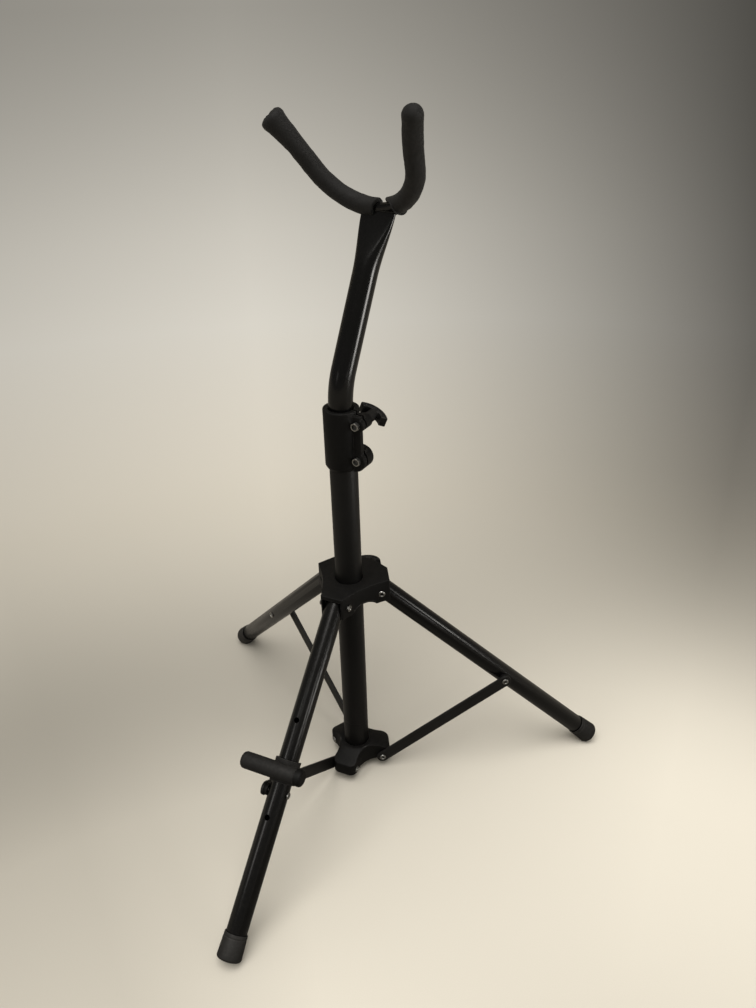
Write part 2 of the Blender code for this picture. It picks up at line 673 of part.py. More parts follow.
def foot_profile():
    """The rubber foot: a cup over the tube's end, wider at the floor, with a rounded edge."""
    mouth = LEG_LENGTH + CAP_END - CAP_LENGTH
    end = LEG_LENGTH + CAP_END
    bore = LEG_RADIUS + GAP
    edge = arc_points((CAP_FOOT_RADIUS - CAP_ROUND, end - CAP_ROUND), CAP_ROUND, 0.0, math.pi / 2, 4)
    return ([(0.0, LEG_LENGTH + GAP), (bore, LEG_LENGTH + GAP), (bore, mouth),
             (CAP_MOUTH_RADIUS - CAP_LIP, mouth), (CAP_MOUTH_RADIUS, mouth + CAP_LIP)]
            + edge + [(0.0, end)])


def build_leg(shop, side):
    """One leg: its tube, top plug, pivot rivet, the rivet that carries its stay, and its rubber foot."""
    pivot = shop.pivots[side]
    along = (0.0, math.pi / 2, 0.0)
    across = (math.pi / 2, 0.0, 0.0)
    inner = LEG_RADIUS - LEG_WALL
    tube = turned(shop, "leg_tube_" + side, pivot, ring_points(LEG_RADIUS, inner, -LEG_HEAD, LEG_LENGTH),
                  "black_steel", closed=True, steps=TUBE_STEPS, rotation=along)
    plug = turned(shop, "leg_plug_" + side, pivot, rod_points(inner - GAP, -LEG_HEAD, LEG_PLUG_LENGTH),
                  "black_plastic", steps=TUBE_STEPS, rotation=along)
    lid = shop.add(box_mesh("leg_mitre_" + side,
                            (-2 * DRILL_REACH, -DRILL_REACH, SPIDER_TOP - SPIDER_LID - 2 * GAP),
                            (3 * DRILL_REACH, DRILL_REACH, SPIDER_TOP + 2 * DRILL_REACH)),
                   "leg_mitre_" + side, shop.arms[side])
    drill = rod_points(RIVET_SHANK + GAP, -DRILL_REACH, DRILL_REACH)
    pin_hole = turned(shop, "leg_pin_hole_" + side, pivot, drill, rotation=across)
    stay_hole = turned(shop, "leg_stay_hole_" + side, shop.hinges[side], drill, rotation=across)
    for item in (tube, plug):
        carve(item, lid)
        carve(item, pin_hole)
    carve(tube, stay_hole)
    if side == "front":
        for number in (-1, 0, 1):
            hole = turned(shop, "leg_hole_%d" % (number + 2), pivot, rod_points(HOLE_RADIUS, 0.0, DRILL_REACH),
                          location=(PEG_DISTANCE + PEG_PIN_SHIFT + number * HOLE_PITCH, 0.0, 0.0))
            carve(tube, hole)
    cap = turned(shop, "foot_cap_" + side, pivot, foot_profile(), "black_rubber", steps=TUBE_STEPS,
                 rotation=along)
    floor = box_mesh("floor_cut_" + side, (FOOT_AXIS - DRILL_REACH, -DRILL_REACH, -DRILL_REACH),
                     (FOOT_REACH + DRILL_REACH, DRILL_REACH, 0.0))
    carve(cap, shop.add(floor, "floor_cut_" + side, shop.arms[side]))
    seat = PIVOT_SEAT_HALF + GAP
    rivet(shop, "pivot_rivet_" + side, pivot, -seat, seat, rotation=across)
    rivet(shop, "stay_rivet_" + side, shop.hinges[side], -(LEG_RADIUS + GAP), STAY_OUTER_FACE, rotation=across)


def build_stay(shop, side):
    """One stay: a flat bar hung on its leg, with its spacer and the head of its inner rivet."""
    hinge = shop.hinges[side]
    half = STAY_WIDTH / 2
    outline = (arc_points((STAY_LENGTH, 0.0), half, -math.pi / 2, math.pi / 2, 9)
               + arc_points((0.0, 0.0), half, math.pi / 2, 3 * math.pi / 2, 9))
    middle = -(STAY_FACE + STAY_THICKNESS / 2)
    across = (math.pi / 2, 0.0, 0.0)
    bar = shop.add(outline_mesh("stay_" + side, outline, STAY_THICKNESS / 2), "stay_" + side, hinge,
                   "black_steel", location=(0.0, middle, 0.0), rotation=across)
    for number, distance in enumerate((0.0, STAY_LENGTH)):
        hole = turned(shop, "stay_hole_%s_%d" % (side, number), hinge,
                      rod_points(RIVET_SHANK + GAP, -DRILL_REACH, DRILL_REACH), location=(distance, 0.0, 0.0),
                      rotation=across)
        carve(bar, hole)
    rivet(shop, "hub_rivet_head_" + side, hinge, STAY_FACE, STAY_OUTER_FACE, low_head=False,
          location=(STAY_LENGTH, 0.0, 0.0), rotation=across)
    near = LEG_RADIUS + 2 * GAP
    spacer = ring_points(SPACER_RADIUS, RIVET_SHANK + GAP, near, near + SPACER_THICKNESS)
    turned(shop, "stay_spacer_" + side, hinge, spacer, "black_plastic", closed=True, steps=TUBE_STEPS,
           rotation=across)


def build_clamp(shop):
    """The split collar at the column's top, with its cap screw, knob, bolt and nuts."""
    clamp = shop.frame("clamp_frame", shop.root, (0.0, 0.0, 0.0), (0.0, 0.0, CLAMP_TURN))
    shell = [(0.0, CLAMP_TOP), (CLAMP_RADIUS - CLAMP_EDGE, CLAMP_TOP), (CLAMP_RADIUS, CLAMP_TOP - CLAMP_EDGE),
             (CLAMP_RADIUS, CLAMP_BOTTOM + CLAMP_CHAMFER), (CLAMP_RADIUS - CLAMP_FOOT_INSET, CLAMP_BOTTOM),
             (0.0, CLAMP_BOTTOM)]
    body = turned(shop, "clamp_collar", clamp, shell, "black_plastic", steps=ROUND_STEPS)
    ears = box_mesh("clamp_ears", (EAR_ROOT, -EAR_HALF, CLAMP_BOTTOM + EAR_FOOT_RISE),
                    (EAR_REACH, EAR_HALF, CLAMP_TOP - EAR_TOP_DROP))
    carve(body, shop.add(ears, "clamp_ears", clamp), "UNION")
    across = (math.pi / 2, 0.0, 0.0)
    for name, reach, rise, radius in (("lower", LOBE_LOWER_REACH, LOBE_LOWER_RISE, LOBE_LOWER),
                                      ("upper", SCREW_REACH, SCREW_UPPER_RISE, LOBE_UPPER)):
        lobe = turned(shop, "clamp_lobe_" + name, clamp, rod_points(radius, -LOBE_DEPTH, EAR_HALF),
                      steps=TUBE_STEPS, location=(reach, 0.0, CLAMP_BOTTOM + rise), rotation=across)
        carve(body, lobe, "UNION")
    notch_foot = CLAMP_BOTTOM + EAR_NOTCH_RISE
    notch = box_mesh("clamp_notch", (EAR_NOTCH_REACH, 0.0, notch_foot),
                     (EAR_REACH + DRILL_REACH, DRILL_REACH, notch_foot + EAR_NOTCH_HEIGHT))
    carve(body, shop.add(notch, "clamp_notch", clamp))
    step = COLUMN_TOP + BUSH_FLANGE + 2 * GAP
    bore = [(0.0, CLAMP_TOP + OVERCUT), (UPPER_RADIUS + 2 * GAP, CLAMP_TOP + OVERCUT),
            (UPPER_RADIUS + 2 * GAP, step), (COLUMN_RADIUS + GAP, step),
            (COLUMN_RADIUS + GAP, CLAMP_BOTTOM - OVERCUT), (0.0, CLAMP_BOTTOM - OVERCUT)]
    carve(body, turned(shop, "clamp_bore", shop.root, bore, steps=ROUND_STEPS))
    slot = box_mesh("clamp_slot", (CLAMP_SLOT_ROOT, -CLAMP_SLOT / 2, CLAMP_BOTTOM - OVERCUT),
                    (EAR_REACH + DRILL_REACH, CLAMP_SLOT / 2, CLAMP_TOP + OVERCUT))
    carve(body, shop.add(slot, "clamp_slot", clamp))
    for name, rise in (("lower", SCREW_LOWER_RISE), ("upper", SCREW_UPPER_RISE)):
        hole = turned(shop, "clamp_screw_hole_" + name, clamp,
                      rod_points(CLAMP_SCREW_RADIUS + GAP, -DRILL_REACH, DRILL_REACH),
                      location=(SCREW_REACH, 0.0, CLAMP_BOTTOM + rise), rotation=across)
        carve(body, hole)

    away = (-math.pi / 2, 0.0, 0.0)
    lower = shop.frame("clamp_lower_axis", clamp, (SCREW_REACH, 0.0, CLAMP_BOTTOM + SCREW_LOWER_RISE), away)
    face = LOBE_DEPTH + GAP
    nut_face = EAR_HALF + GAP
    tail = nut_face + NUT_HEIGHT
    crown = face + CAP_HEAD_HEIGHT
    screw = [(0.0, crown), (CAP_HEAD_RADIUS - CAP_HEAD_EDGE, crown), (CAP_HEAD_RADIUS, crown - CAP_HEAD_EDGE),
             (CAP_HEAD_RADIUS, face), (CLAMP_SCREW_RADIUS, face), (CLAMP_SCREW_RADIUS, -tail), (0.0, -tail)]
    cap_screw = turned(shop, "clamp_lower_screw", lower, screw, "zinc")
    socket = prism_mesh("clamp_socket", 6, CAP_SOCKET_RADIUS, face + CAP_SOCKET_FLOOR, crown + OVERCUT)
    carve(cap_screw, shop.add(socket, "clamp_socket", lower))
    add_nut(shop, "clamp_lower_nut", lower, -tail, -nut_face)

    upper = shop.frame("clamp_upper_axis", clamp, (SCREW_REACH, 0.0, CLAMP_BOTTOM + SCREW_UPPER_RISE), away)
    add_nut(shop, "clamp_upper_nut", upper, -tail, -nut_face)
    neck_low = face + GAP
    neck_high = neck_low + CLAMP_NECK_LENGTH
    bolt = rod_points(CLAMP_SCREW_RADIUS, -tail - CLAMP_BOLT_TAIL, neck_low + CLAMP_BOLT_DEPTH)
    turned(shop, "clamp_bolt", upper, bolt, "zinc")
    wing_knob(shop, "clamp_knob", upper, neck_low, neck_high, CLAMP_KNOB_TURN, CLAMP_SCREW_RADIUS,
              CLAMP_BOLT_DEPTH)


def add_nut(shop, name, parent, low, high):
    """A hexagon nut along its parent's Z."""
    nut = shop.add(prism_mesh(name, 6, NUT_RADIUS, low, high), name, parent, "zinc")
    bore = turned(shop, name + "_bore", parent, rod_points(CLAMP_SCREW_RADIUS + GAP, low - OVERCUT,
                                                           high + OVERCUT))
    carve(nut, bore)


def build_bush(shop):
    """The nylon bush that guides the upper tube in the column."""
    outer = COLUMN_RADIUS - COLUMN_WALL - GAP
    inner = UPPER_RADIUS + GAP
    flange = COLUMN_RADIUS - GAP
    seat = COLUMN_TOP + GAP
    points = [(flange, seat + BUSH_FLANGE), (flange, seat), (outer, seat), (outer, seat - BUSH_LENGTH),
              (inner, seat - BUSH_LENGTH), (inner, seat + BUSH_FLANGE)]
    turned(shop, "column_bush", shop.upper, points, "nylon", closed=True, steps=ROUND_STEPS)


def upper_path():
    """Frames up the upper tube, and how far each has gone towards the pressed end, from 0 to 1."""
    side = Vector((1.0, 0.0, 0.0))
    tangent = BEND_RADIUS * math.tan(UPPER_LEAN / 2)
    start = BEND_HEIGHT - tangent
    frames = []
    for height in (UPPER_FOOT, (UPPER_FOOT + start) / 2):
        frames.append((Matrix.Translation((0.0, 0.0, height)), 0.0))
    steps = 7
    for i in range(steps):
        angle = UPPER_LEAN * i / (steps - 1)
        y = BEND_RADIUS * (1 - math.cos(angle))
        z = start + BEND_RADIUS * math.sin(angle)
        frames.append((Matrix.Translation((0.0, y, z)) @ Matrix.Rotation(-angle, 4, side), 0.0))
    rest = UPPER_REACH - tangent
    for i in range(9):
        pressed = i / 8
        distance = rest - PRESSED_LENGTH * (1 - pressed)
        offset = frames[2 + steps - 1][0] @ Matrix.Translation((0.0, 0.0, distance))
        frames.append((offset, pressed))
    return frames


def pressed_size(pressed, wall):
    """Half width and half thickness of the tube's section where it is pressed flat."""
    ease = pressed * pressed * (3 - 2 * pressed)
    width = UPPER_RADIUS + (PRESSED_WIDTH / 2 - UPPER_RADIUS) * ease
    thickness = UPPER_RADIUS + (PRESSED_THICKNESS / 2 - UPPER_RADIUS) * ease
    return width - wall, thickness - wall


def build_upper(shop):
    """The bent upper tube, pressed flat under the yoke, and the glide in its foot."""
    frames = upper_path()
    outside = [oval(frame, *pressed_size(pressed, 0.0), 28) for frame, pressed in frames]
    inside = [oval(frame, *pressed_size(pressed, UPPER_WALL), 28) for frame, pressed in reversed(frames)]
    tube = shop.add(loft("upper_tube", outside + inside, True), "upper_tube", shop.upper, "black_steel")
    notch = ROD_RADIUS + GAP
    saddle = loft("rod_notch", [oval(frame, notch, notch, 24) for frame in yoke_frames()], False)
    carve(tube, shop.add(saddle, "rod_notch", shop.yoke))
    inner = UPPER_RADIUS - UPPER_WALL - GAP
    outer = COLUMN_RADIUS - COLUMN_WALL - GAP
    seat = UPPER_FOOT - GAP
    glide = [(0.0, UPPER_FOOT + GLIDE_LENGTH), (inner, UPPER_FOOT + GLIDE_LENGTH), (inner, seat),
             (outer, seat), (outer, seat - GLIDE_FLANGE), (0.0, seat - GLIDE_FLANGE)]
    turned(shop, "tube_glide", shop.upper, glide, "nylon", steps=ROUND_STEPS)


def yoke_half(sign, start, length):
    """Points along one arm of the yoke in its own XY plane, from the middle outwards."""
    first = start / YOKE_RADIUS
    points = []
    for i in range(9):
        angle = first + (YOKE_SWEEP - first) * i / 8
        points.append(Vector((YOKE_RADIUS * math.sin(angle), YOKE_RADIUS * (1 - math.cos(angle)), 0.0)))
    steps = 6
    for i in range(steps):
        angle = YOKE_SWEEP - YOKE_FLARE * (i + 1) / steps
        step = length / steps
        points.append(points[-1] + step * Vector((math.cos(angle), math.sin(angle), 0.0)))
    return [Vector((sign * point.x, point.y, 0.0)) for point in points]


def yoke_frames():
    """Frames along the whole rod, from the left tip to the right."""
    left = yoke_half(-1.0, 0.0, YOKE_ARM_LEFT)
    right = yoke_half(1.0, 0.0, YOKE_ARM_RIGHT)
    return path_frames(left[::-1] + right[1:], Vector((0.0, 0.0, 1.0)))


def build_yoke(shop):
    """The bent rod welded across the pressed tube, and its two foam sleeves."""
    rings = [oval(frame, *pressed_size(pressed, -GAP), 28) for frame, pressed in upper_path()]
    tube_space = shop.add(loft("tube_space", rings, False), "tube_space", shop.upper)
    rod = loft("yoke_rod", [oval(frame, ROD_RADIUS, ROD_RADIUS, 12) for frame in yoke_frames()], False)
    shop.add(rod, "yoke_rod", shop.yoke, "black_steel")
    for name, sign, start, arm in (("left", -1.0, FOAM_START_LEFT, YOKE_ARM_LEFT),
                                   ("right", 1.0, FOAM_START_RIGHT, YOKE_ARM_RIGHT)):
        points = yoke_half(sign, start, arm + FOAM_OVERHANG)
        mesh = bent_tube("yoke_foam_" + name, points, Vector((0.0, 0.0, 1.0)), FOAM_RADIUS,
                         ROD_RADIUS + FOAM_GAP, 16)
        sleeve = shop.add(mesh, "yoke_foam_" + name, shop.yoke, "black_foam")
        carve(sleeve, tube_space)


def build_peg(shop):
    """The bow rest: a saddle on the front leg with a thick bar across it, its core, end cap and pin."""
    peg = shop.peg
    inner = LEG_RADIUS + GAP
    outer = inner + SADDLE_WALL
    outline = arc_points((0.0, 0.0), outer, -SADDLE_WRAP, math.pi + SADDLE_WRAP, 25)
    body = shop.add(outline_mesh("peg_body", outline, SADDLE_LENGTH / 2), "peg_body", peg, "black_rubber",
                    rotation=(math.pi / 2, 0.0, math.pi / 2))
    across = (math.pi / 2, 0.0, 0.0)
    left_end = PEG_LEFT
    right_end = -(PEG_RIGHT - PEG_CAP_THICKNESS)
    edge = arc_points((PEG_RADIUS - PEG_ROUND, left_end - PEG_ROUND), PEG_ROUND, math.pi / 2, 0.0, 5)
    bar_points = [(0.0, left_end)] + edge + [(PEG_RADIUS, right_end), (0.0, right_end)]
    bar = turned(shop, "peg_bar_shape", peg, bar_points, steps=TUBE_STEPS, location=(0.0, 0.0, PEG_STANDOFF),
                 rotation=across)
    carve(body, bar, "UNION")
    core_left = left_end - PEG_CORE_COVER
    core_right = right_end + PEG_CORE_COVER
    core_hole = rod_points(PEG_CORE_RADIUS + GAP, right_end - DRILL_REACH, core_left + GAP)
    carve(body, turned(shop, "peg_core_hole", peg, core_hole, location=(0.0, 0.0, PEG_STANDOFF),
                       rotation=across))
    tunnel = [(inner, -outer)] + arc_points((0.0, 0.0), inner, 0.0, math.pi, 15) + [(-inner, -outer)]
    carve(body, shop.add(outline_mesh("peg_leg_space", tunnel, DRILL_REACH), "peg_leg_space", peg,
                         rotation=(math.pi / 2, 0.0, math.pi / 2)))
    turned(shop, "peg_core", peg, rod_points(PEG_CORE_RADIUS, core_right, core_left), "black_steel",
           location=(0.0, 0.0, PEG_STANDOFF), rotation=across)
    cap_end = right_end - PEG_CAP_THICKNESS
    cap = [(0.0, core_right - GAP), (PEG_CORE_RADIUS, core_right - GAP), (PEG_CORE_RADIUS, right_end - GAP),
           (PEG_RADIUS, right_end - GAP)]
    cap += arc_points((PEG_RADIUS - PEG_CAP_EDGE, cap_end + PEG_CAP_EDGE), PEG_CAP_EDGE, 0.0, -math.pi / 2, 5)
    cap.append((0.0, cap_end))
    turned(shop, "peg_end_cap", peg, cap, "black_plastic", steps=TUBE_STEPS, location=(0.0, 0.0, PEG_STANDOFF),
           rotation=across)
    pin_top = PEG_STANDOFF - PEG_CORE_RADIUS - PEG_PIN_COVER
    pin_low = LEG_RADIUS - PEG_PIN_REACH
    pin_place = (PEG_PIN_SHIFT, 0.0, 0.0)
    carve(body, turned(shop, "peg_pin_hole", peg, rod_points(PEG_PIN_RADIUS + GAP, 0.0, pin_top + GAP),
                       location=pin_place))
    turned(shop, "peg_pin", peg, rod_points(PEG_PIN_RADIUS, pin_low, pin_top), "zinc", location=pin_place)


def main():
    """Builds the whole stand."""
    clear_scene()
    shop = Workshop()
    shop.arms = {}
    shop.pivots = {}
    shop.hinges = {}
    for side, azimuth in LEG_AZIMUTHS.items():
        arm = shop.frame("arm_" + side, shop.root, rotation=(0.0, 0.0, math.radians(azimuth)))
        shop.arms[side] = arm
        shop.pivots[side] = shop.frame("leg_pivot_" + side, arm, (PIVOT_RADIUS, 0.0, PIVOT_HEIGHT),
                                       (0.0, LEG_ANGLE, 0.0))
        shop.hinges[side] = shop.frame("stay_hinge_" + side, shop.pivots[side], (STAY_LEG_DISTANCE, 0.0, 0.0),
                                       (0.0, math.pi - STAY_ANGLE - LEG_ANGLE, 0.0))
    shop.peg = shop.frame("peg_frame", shop.pivots["front"], (PEG_DISTANCE, 0.0, 0.0))
    shop.upper = shop.frame("upper_axis", shop.root, rotation=(0.0, 0.0, UPPER_TURN))
    top = upper_path()[-1][0]
    yoke_spot = (top @ Matrix.Translation((YOKE_SIDE, 0.0, ROD_RADIUS - YOKE_SINK))).to_translation()
    shop.yoke = shop.frame("yoke_frame", shop.upper, yoke_spot)
    turn = (Matrix.Rotation(-YOKE_TILT, 4, "Y") @ Matrix.Rotation(math.pi - YOKE_PITCH, 4, "X")
            @ Matrix.Rotation(YOKE_TWIST, 4, "Y"))
    shop.yoke.rotation_euler = turn.to_euler()

    build_column(shop)
    build_hub(shop)
    build_spider(shop)
    for side in LEG_AZIMUTHS:
        build_leg(shop, side)
        build_stay(shop, side)
    build_clamp(shop)
    build_bush(shop)
    build_upper(shop)
    build_yoke(shop)
    build_peg(shop)
    bpy.context.view_layer.update()


main()
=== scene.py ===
"""The baritone saxophone stand of the photograph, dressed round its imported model.

Every piece is made in place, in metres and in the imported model's own axes: +Z is up, the floor is z = 0,
and the front leg, which carries the bow rest, points to -Y.
"""
import json
import logging
import math
from dataclasses import dataclass
from enum import Enum
from typing import Any, Callable, Optional, Sequence

import bmesh
import bpy
from bpy.types import Material, Node, NodeSocket, NodeTree, Object
from mathutils import Matrix, Vector, noise

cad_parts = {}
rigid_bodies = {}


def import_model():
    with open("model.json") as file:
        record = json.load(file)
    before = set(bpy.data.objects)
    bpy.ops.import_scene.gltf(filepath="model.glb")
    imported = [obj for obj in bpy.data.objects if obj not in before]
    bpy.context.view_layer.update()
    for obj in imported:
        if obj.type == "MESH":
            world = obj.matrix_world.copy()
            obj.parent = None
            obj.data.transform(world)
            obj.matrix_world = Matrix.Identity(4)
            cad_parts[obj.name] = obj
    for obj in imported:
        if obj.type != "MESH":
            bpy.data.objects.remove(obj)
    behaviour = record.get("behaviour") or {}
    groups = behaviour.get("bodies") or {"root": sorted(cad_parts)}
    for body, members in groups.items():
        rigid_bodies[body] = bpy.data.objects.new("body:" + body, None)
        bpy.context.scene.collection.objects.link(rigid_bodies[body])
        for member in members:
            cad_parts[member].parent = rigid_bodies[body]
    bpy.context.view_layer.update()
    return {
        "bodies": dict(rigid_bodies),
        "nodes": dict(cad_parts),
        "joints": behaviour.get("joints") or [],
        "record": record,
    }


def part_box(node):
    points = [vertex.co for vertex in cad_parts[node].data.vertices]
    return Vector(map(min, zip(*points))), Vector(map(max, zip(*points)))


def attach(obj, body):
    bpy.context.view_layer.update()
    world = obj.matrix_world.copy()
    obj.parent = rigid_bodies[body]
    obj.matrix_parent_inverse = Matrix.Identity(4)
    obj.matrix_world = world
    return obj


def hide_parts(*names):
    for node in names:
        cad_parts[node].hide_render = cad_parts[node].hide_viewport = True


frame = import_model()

log = logging.getLogger("stand")

Point = tuple[float, float]
Outline = list[Point]

GAP = 0.0003
OVERCUT = 0.002
UPRIGHT = math.pi / 2
ROUND_STEPS = 96
SMALL_STEPS = 48
ALONG_X = Matrix.Rotation(UPRIGHT, 4, "Y")
ACROSS = Matrix.Rotation(UPRIGHT, 4, "X")
AWAY = Matrix.Rotation(-UPRIGHT, 4, "X")


def shift(x: float = 0.0, y: float = 0.0, z: float = 0.0) -> Matrix:
    """A move by x, y and z."""
    return Matrix.Translation((x, y, z))


def spin_z(degrees: float) -> Matrix:
    """A turn about Z."""
    return Matrix.Rotation(math.radians(degrees), 4, "Z")


def arc(centre: Point, radius: float, start: float, end: float, count: int) -> Outline:
    """Points on an arc.

    Args:
        centre: the arc's centre.
        radius: its radius.
        start: the first point's angle in radians.
        end: the last point's angle in radians.
        count: how many points.

    Returns:
        The points, first to last.
    """
    step = (end - start) / (count - 1)
    return [(centre[0] + radius * math.cos(start + i * step),
             centre[1] + radius * math.sin(start + i * step)) for i in range(count)]


def turned_point(x: float, y: float, degrees: float) -> Point:
    """A point turned about the origin."""
    angle = math.radians(degrees)
    return (x * math.cos(angle) - y * math.sin(angle), x * math.sin(angle) + y * math.cos(angle))


def filleted(points: Outline, radius: float, count: int = 5, least: float = 25.0) -> Outline:
    """Rounds the corners of a closed outline.

    Args:
        points: the outline's points, in order.
        radius: the radius of the rounding.
        count: the points on each rounded corner.
        least: corners that turn by less than this many degrees stay as they are.

    Returns:
        The outline with each sharper corner replaced by an arc.
    """
    made: Outline = []
    for i, here in enumerate(points):
        spot = Vector(here)
        back = Vector(points[i - 1]) - spot
        ahead = Vector(points[(i + 1) % len(points)]) - spot
        between = back.angle(ahead)
        if math.pi - between < math.radians(least):
            made.append(here)
            continue
        room = min(back.length, ahead.length) * 0.49
        reach = min(radius / math.tan(between / 2), room)
        first = spot + back.normalized() * reach
        last = spot + ahead.normalized() * reach
        for k in range(count):
            f = k / (count - 1)
            bend = first.lerp(spot, f).lerp(spot.lerp(last, f), f)
            made.append((bend.x, bend.y))
    return made


def rod(radius: float, low: float, high: float, edge: float = 0.0) -> Outline:
    """The profile of a solid rod, with its rims rounded by edge."""
    if not edge:
        return [(0.0, high), (radius, high), (radius, low), (0.0, low)]
    top = arc((radius - edge, high - edge), edge, UPRIGHT, 0.0, 4)
    foot = arc((radius - edge, low + edge), edge, 0.0, -UPRIGHT, 4)
    return [(0.0, high)] + top + foot + [(0.0, low)]


def pipe(outer: float, inner: float, low: float, high: float, edge: float = 0.0002) -> Outline:
    """The profile of a tube, with the rims of its ends rounded by edge."""
    return (arc((outer - edge, high - edge), edge, UPRIGHT, 0.0, 3)
            + arc((outer - edge, low + edge), edge, 0.0, -UPRIGHT, 3)
            + arc((inner + edge, low + edge), edge, -UPRIGHT, -math.pi, 3)
            + arc((inner + edge, high - edge), edge, math.pi, UPRIGHT, 3))


# Finishes

class Nodes:
    """Adds shader nodes to one tree and links them."""

    def __init__(self, tree: NodeTree) -> None:
        """Works on the given tree."""
        self.tree = tree

    def feed(self, socket: NodeSocket, value: Any) -> None:
        """Links a socket to another, or sets its number."""
        if isinstance(value, NodeSocket):
            self.tree.links.new(value, socket)
        else:
            socket.default_value = value

    def add(self, kind: str, inputs: Optional[dict[Any, Any]] = None, **settings: Any) -> Node:
        """Adds one node.

        Args:
            kind: the node's type without its ShaderNode prefix.
            inputs: what goes into its sockets, by name or number.
            settings: the node's own properties.

        Returns:
            The new node.
        """
        node = self.tree.nodes.new("ShaderNode" + kind)
        for key, value in settings.items():
            setattr(node, key, value)
        for key, value in (inputs or {}).items():
            self.feed(node.inputs[key], value)
        return node

    def math(self, operation: str, *values: Any) -> NodeSocket:
        """A Math node's result."""
        return self.add("Math", dict(enumerate(values)), operation=operation).outputs[0]

    def ranged(self, value: NodeSocket, low: float, high: float, to_low: Any, to_high: Any) -> NodeSocket:
        """A value moved from one range to another, and held inside it."""
        return self.add("MapRange", {0: value, 1: low, 2: high, 3: to_low, 4: to_high}).outputs[0]

    def blend(self, factor: Any, first: Any, second: Any) -> NodeSocket:
        """A mix of two colours."""
        return self.add("Mix", {0: factor, 6: first, 7: second}, data_type="RGBA").outputs[2]

    def noise(self, at: NodeSocket, scale: Any, detail: float = 3.0) -> NodeSocket:
        """Plain noise at a place."""
        return self.add("TexNoise", {"Vector": at, "Scale": scale, "Detail": detail}).outputs[0]

    def group(self, tree: NodeTree, **inputs: Any) -> Node:
        """A shared effect placed in this tree with its own values."""
        node = self.tree.nodes.new("ShaderNodeGroup")
        node.node_tree = tree
        for key, value in inputs.items():
            self.feed(node.inputs[key], value)
        return node


class Effect:
    """The surface effects that several finishes share, as node groups made once each."""

    @staticmethod
    def start(name: str, numbers: Sequence[str], outputs: Sequence[str]) -> tuple[NodeTree, Nodes, Node, Node]:
        """Begins a group that takes a Vector and some numbers.

        Args:
            name: the group's name.
            numbers: the names of its number inputs.
            outputs: the names of its number outputs.

        Returns:
            The tree, its node adder, its input node and its output node.
        """
        tree = bpy.data.node_groups.new(name, "ShaderNodeTree")
        tree.interface.new_socket("Vector", in_out="INPUT", socket_type="NodeSocketVector")
        for number in numbers:
            tree.interface.new_socket(number, in_out="INPUT", socket_type="NodeSocketFloat")
        for output in outputs:
            tree.interface.new_socket(output, in_out="OUTPUT", socket_type="NodeSocketFloat")
        return tree, Nodes(tree), tree.nodes.new("NodeGroupInput"), tree.nodes.new("NodeGroupOutput")

    @staticmethod
    def grain() -> NodeTree:
        """Fine grain: the orange peel of a powder coat, or the spark texture of a mould."""
        name = "fine_grain"
        if name in bpy.data.node_groups:
            return bpy.data.node_groups[name]
        tree, book, source, sink = Effect.start(name, ["Scale", "Pits"], ["Height"])
        at, scale = source.outputs["Vector"], source.outputs["Scale"]
        waves = book.noise(at, scale, 4.0)
        cells = book.add("TexVoronoi", {"Vector": at, "Scale": scale}).outputs["Distance"]
        pits = book.math("MULTIPLY", book.ranged(cells, 0.0, 0.6, 0.0, 1.0), source.outputs["Pits"])
        book.feed(sink.inputs["Height"], book.math("ADD", waves, pits))
        return tree

    @staticmethod
    def patches() -> NodeTree:
        """Broad soft patches between two values, for gloss and tone that wander over a surface."""
        name = "soft_patches"
        if name in bpy.data.node_groups:
            return bpy.data.node_groups[name]
        tree, book, source, sink = Effect.start(name, ["Scale", "Low", "High"], ["Value"])
        cloud = book.noise(source.outputs["Vector"], source.outputs["Scale"], 5.0)
        value = book.ranged(cloud, 0.32, 0.68, source.outputs["Low"], source.outputs["High"])
        book.feed(sink.inputs["Value"], value)
        return tree

    @staticmethod
    def wear_and_edge_highlight() -> NodeTree:
        """Rubbed edges and a painted edge highlight: a pale mask strongest on sharp corners, broken up by noise."""
        name = "rubbed_edges"
        if name in bpy.data.node_groups:
            return bpy.data.node_groups[name]
        tree, book, source, sink = Effect.start(name, ["Radius", "Scale", "Amount"], ["Mask"])
        soft = book.add("Bevel", {"Radius": source.outputs["Radius"]}, samples=4).outputs[0]
        plain = book.add("NewGeometry").outputs["Normal"]
        facing = book.add("VectorMath", {0: soft, 1: plain}, operation="DOT_PRODUCT").outputs["Value"]
        # Pale on sharp corners: partly rubbed wear, partly a painted highlight along the rims.
        corner = book.ranged(facing, 0.995, 0.86, 0.0, 1.0)
        broken = book.ranged(book.noise(source.outputs["Vector"], source.outputs["Scale"], 6.0), 0.35, 0.65, 0.25, 1.0)
        amount = book.math("MULTIPLY", book.math("MULTIPLY", corner, broken), source.outputs["Amount"])
        book.feed(sink.inputs["Mask"], amount)
        return tree

    @staticmethod
    def dust() -> NodeTree:
        """Dust that has settled on what faces up, in specks and a thin film."""
        name = "settled_dust"
        if name in bpy.data.node_groups:
            return bpy.data.node_groups[name]
        tree, book, source, sink = Effect.start(name, ["Scale", "Amount"], ["Mask"])
        normal = book.add("SeparateXYZ", {0: book.add("NewGeometry").outputs["Normal"]}).outputs["Z"]
        upward = book.ranged(normal, 0.1, 0.95, 0.0, 1.0)
        film = book.ranged(book.noise(source.outputs["Vector"], source.outputs["Scale"], 8.0), 0.4, 0.75, 0.15, 1.0)
        amount = book.math("MULTIPLY", book.math("MULTIPLY", upward, film), source.outputs["Amount"])
        book.feed(sink.inputs["Mask"], amount)
        return tree


def grey(level: float, warmth: float = 0.0) -> tuple[float, float, float, float]:
    """A grey, made warmer by a share of its own level."""
    return (level * (1 + warmth), level, level * (1 - warmth), 1.0)


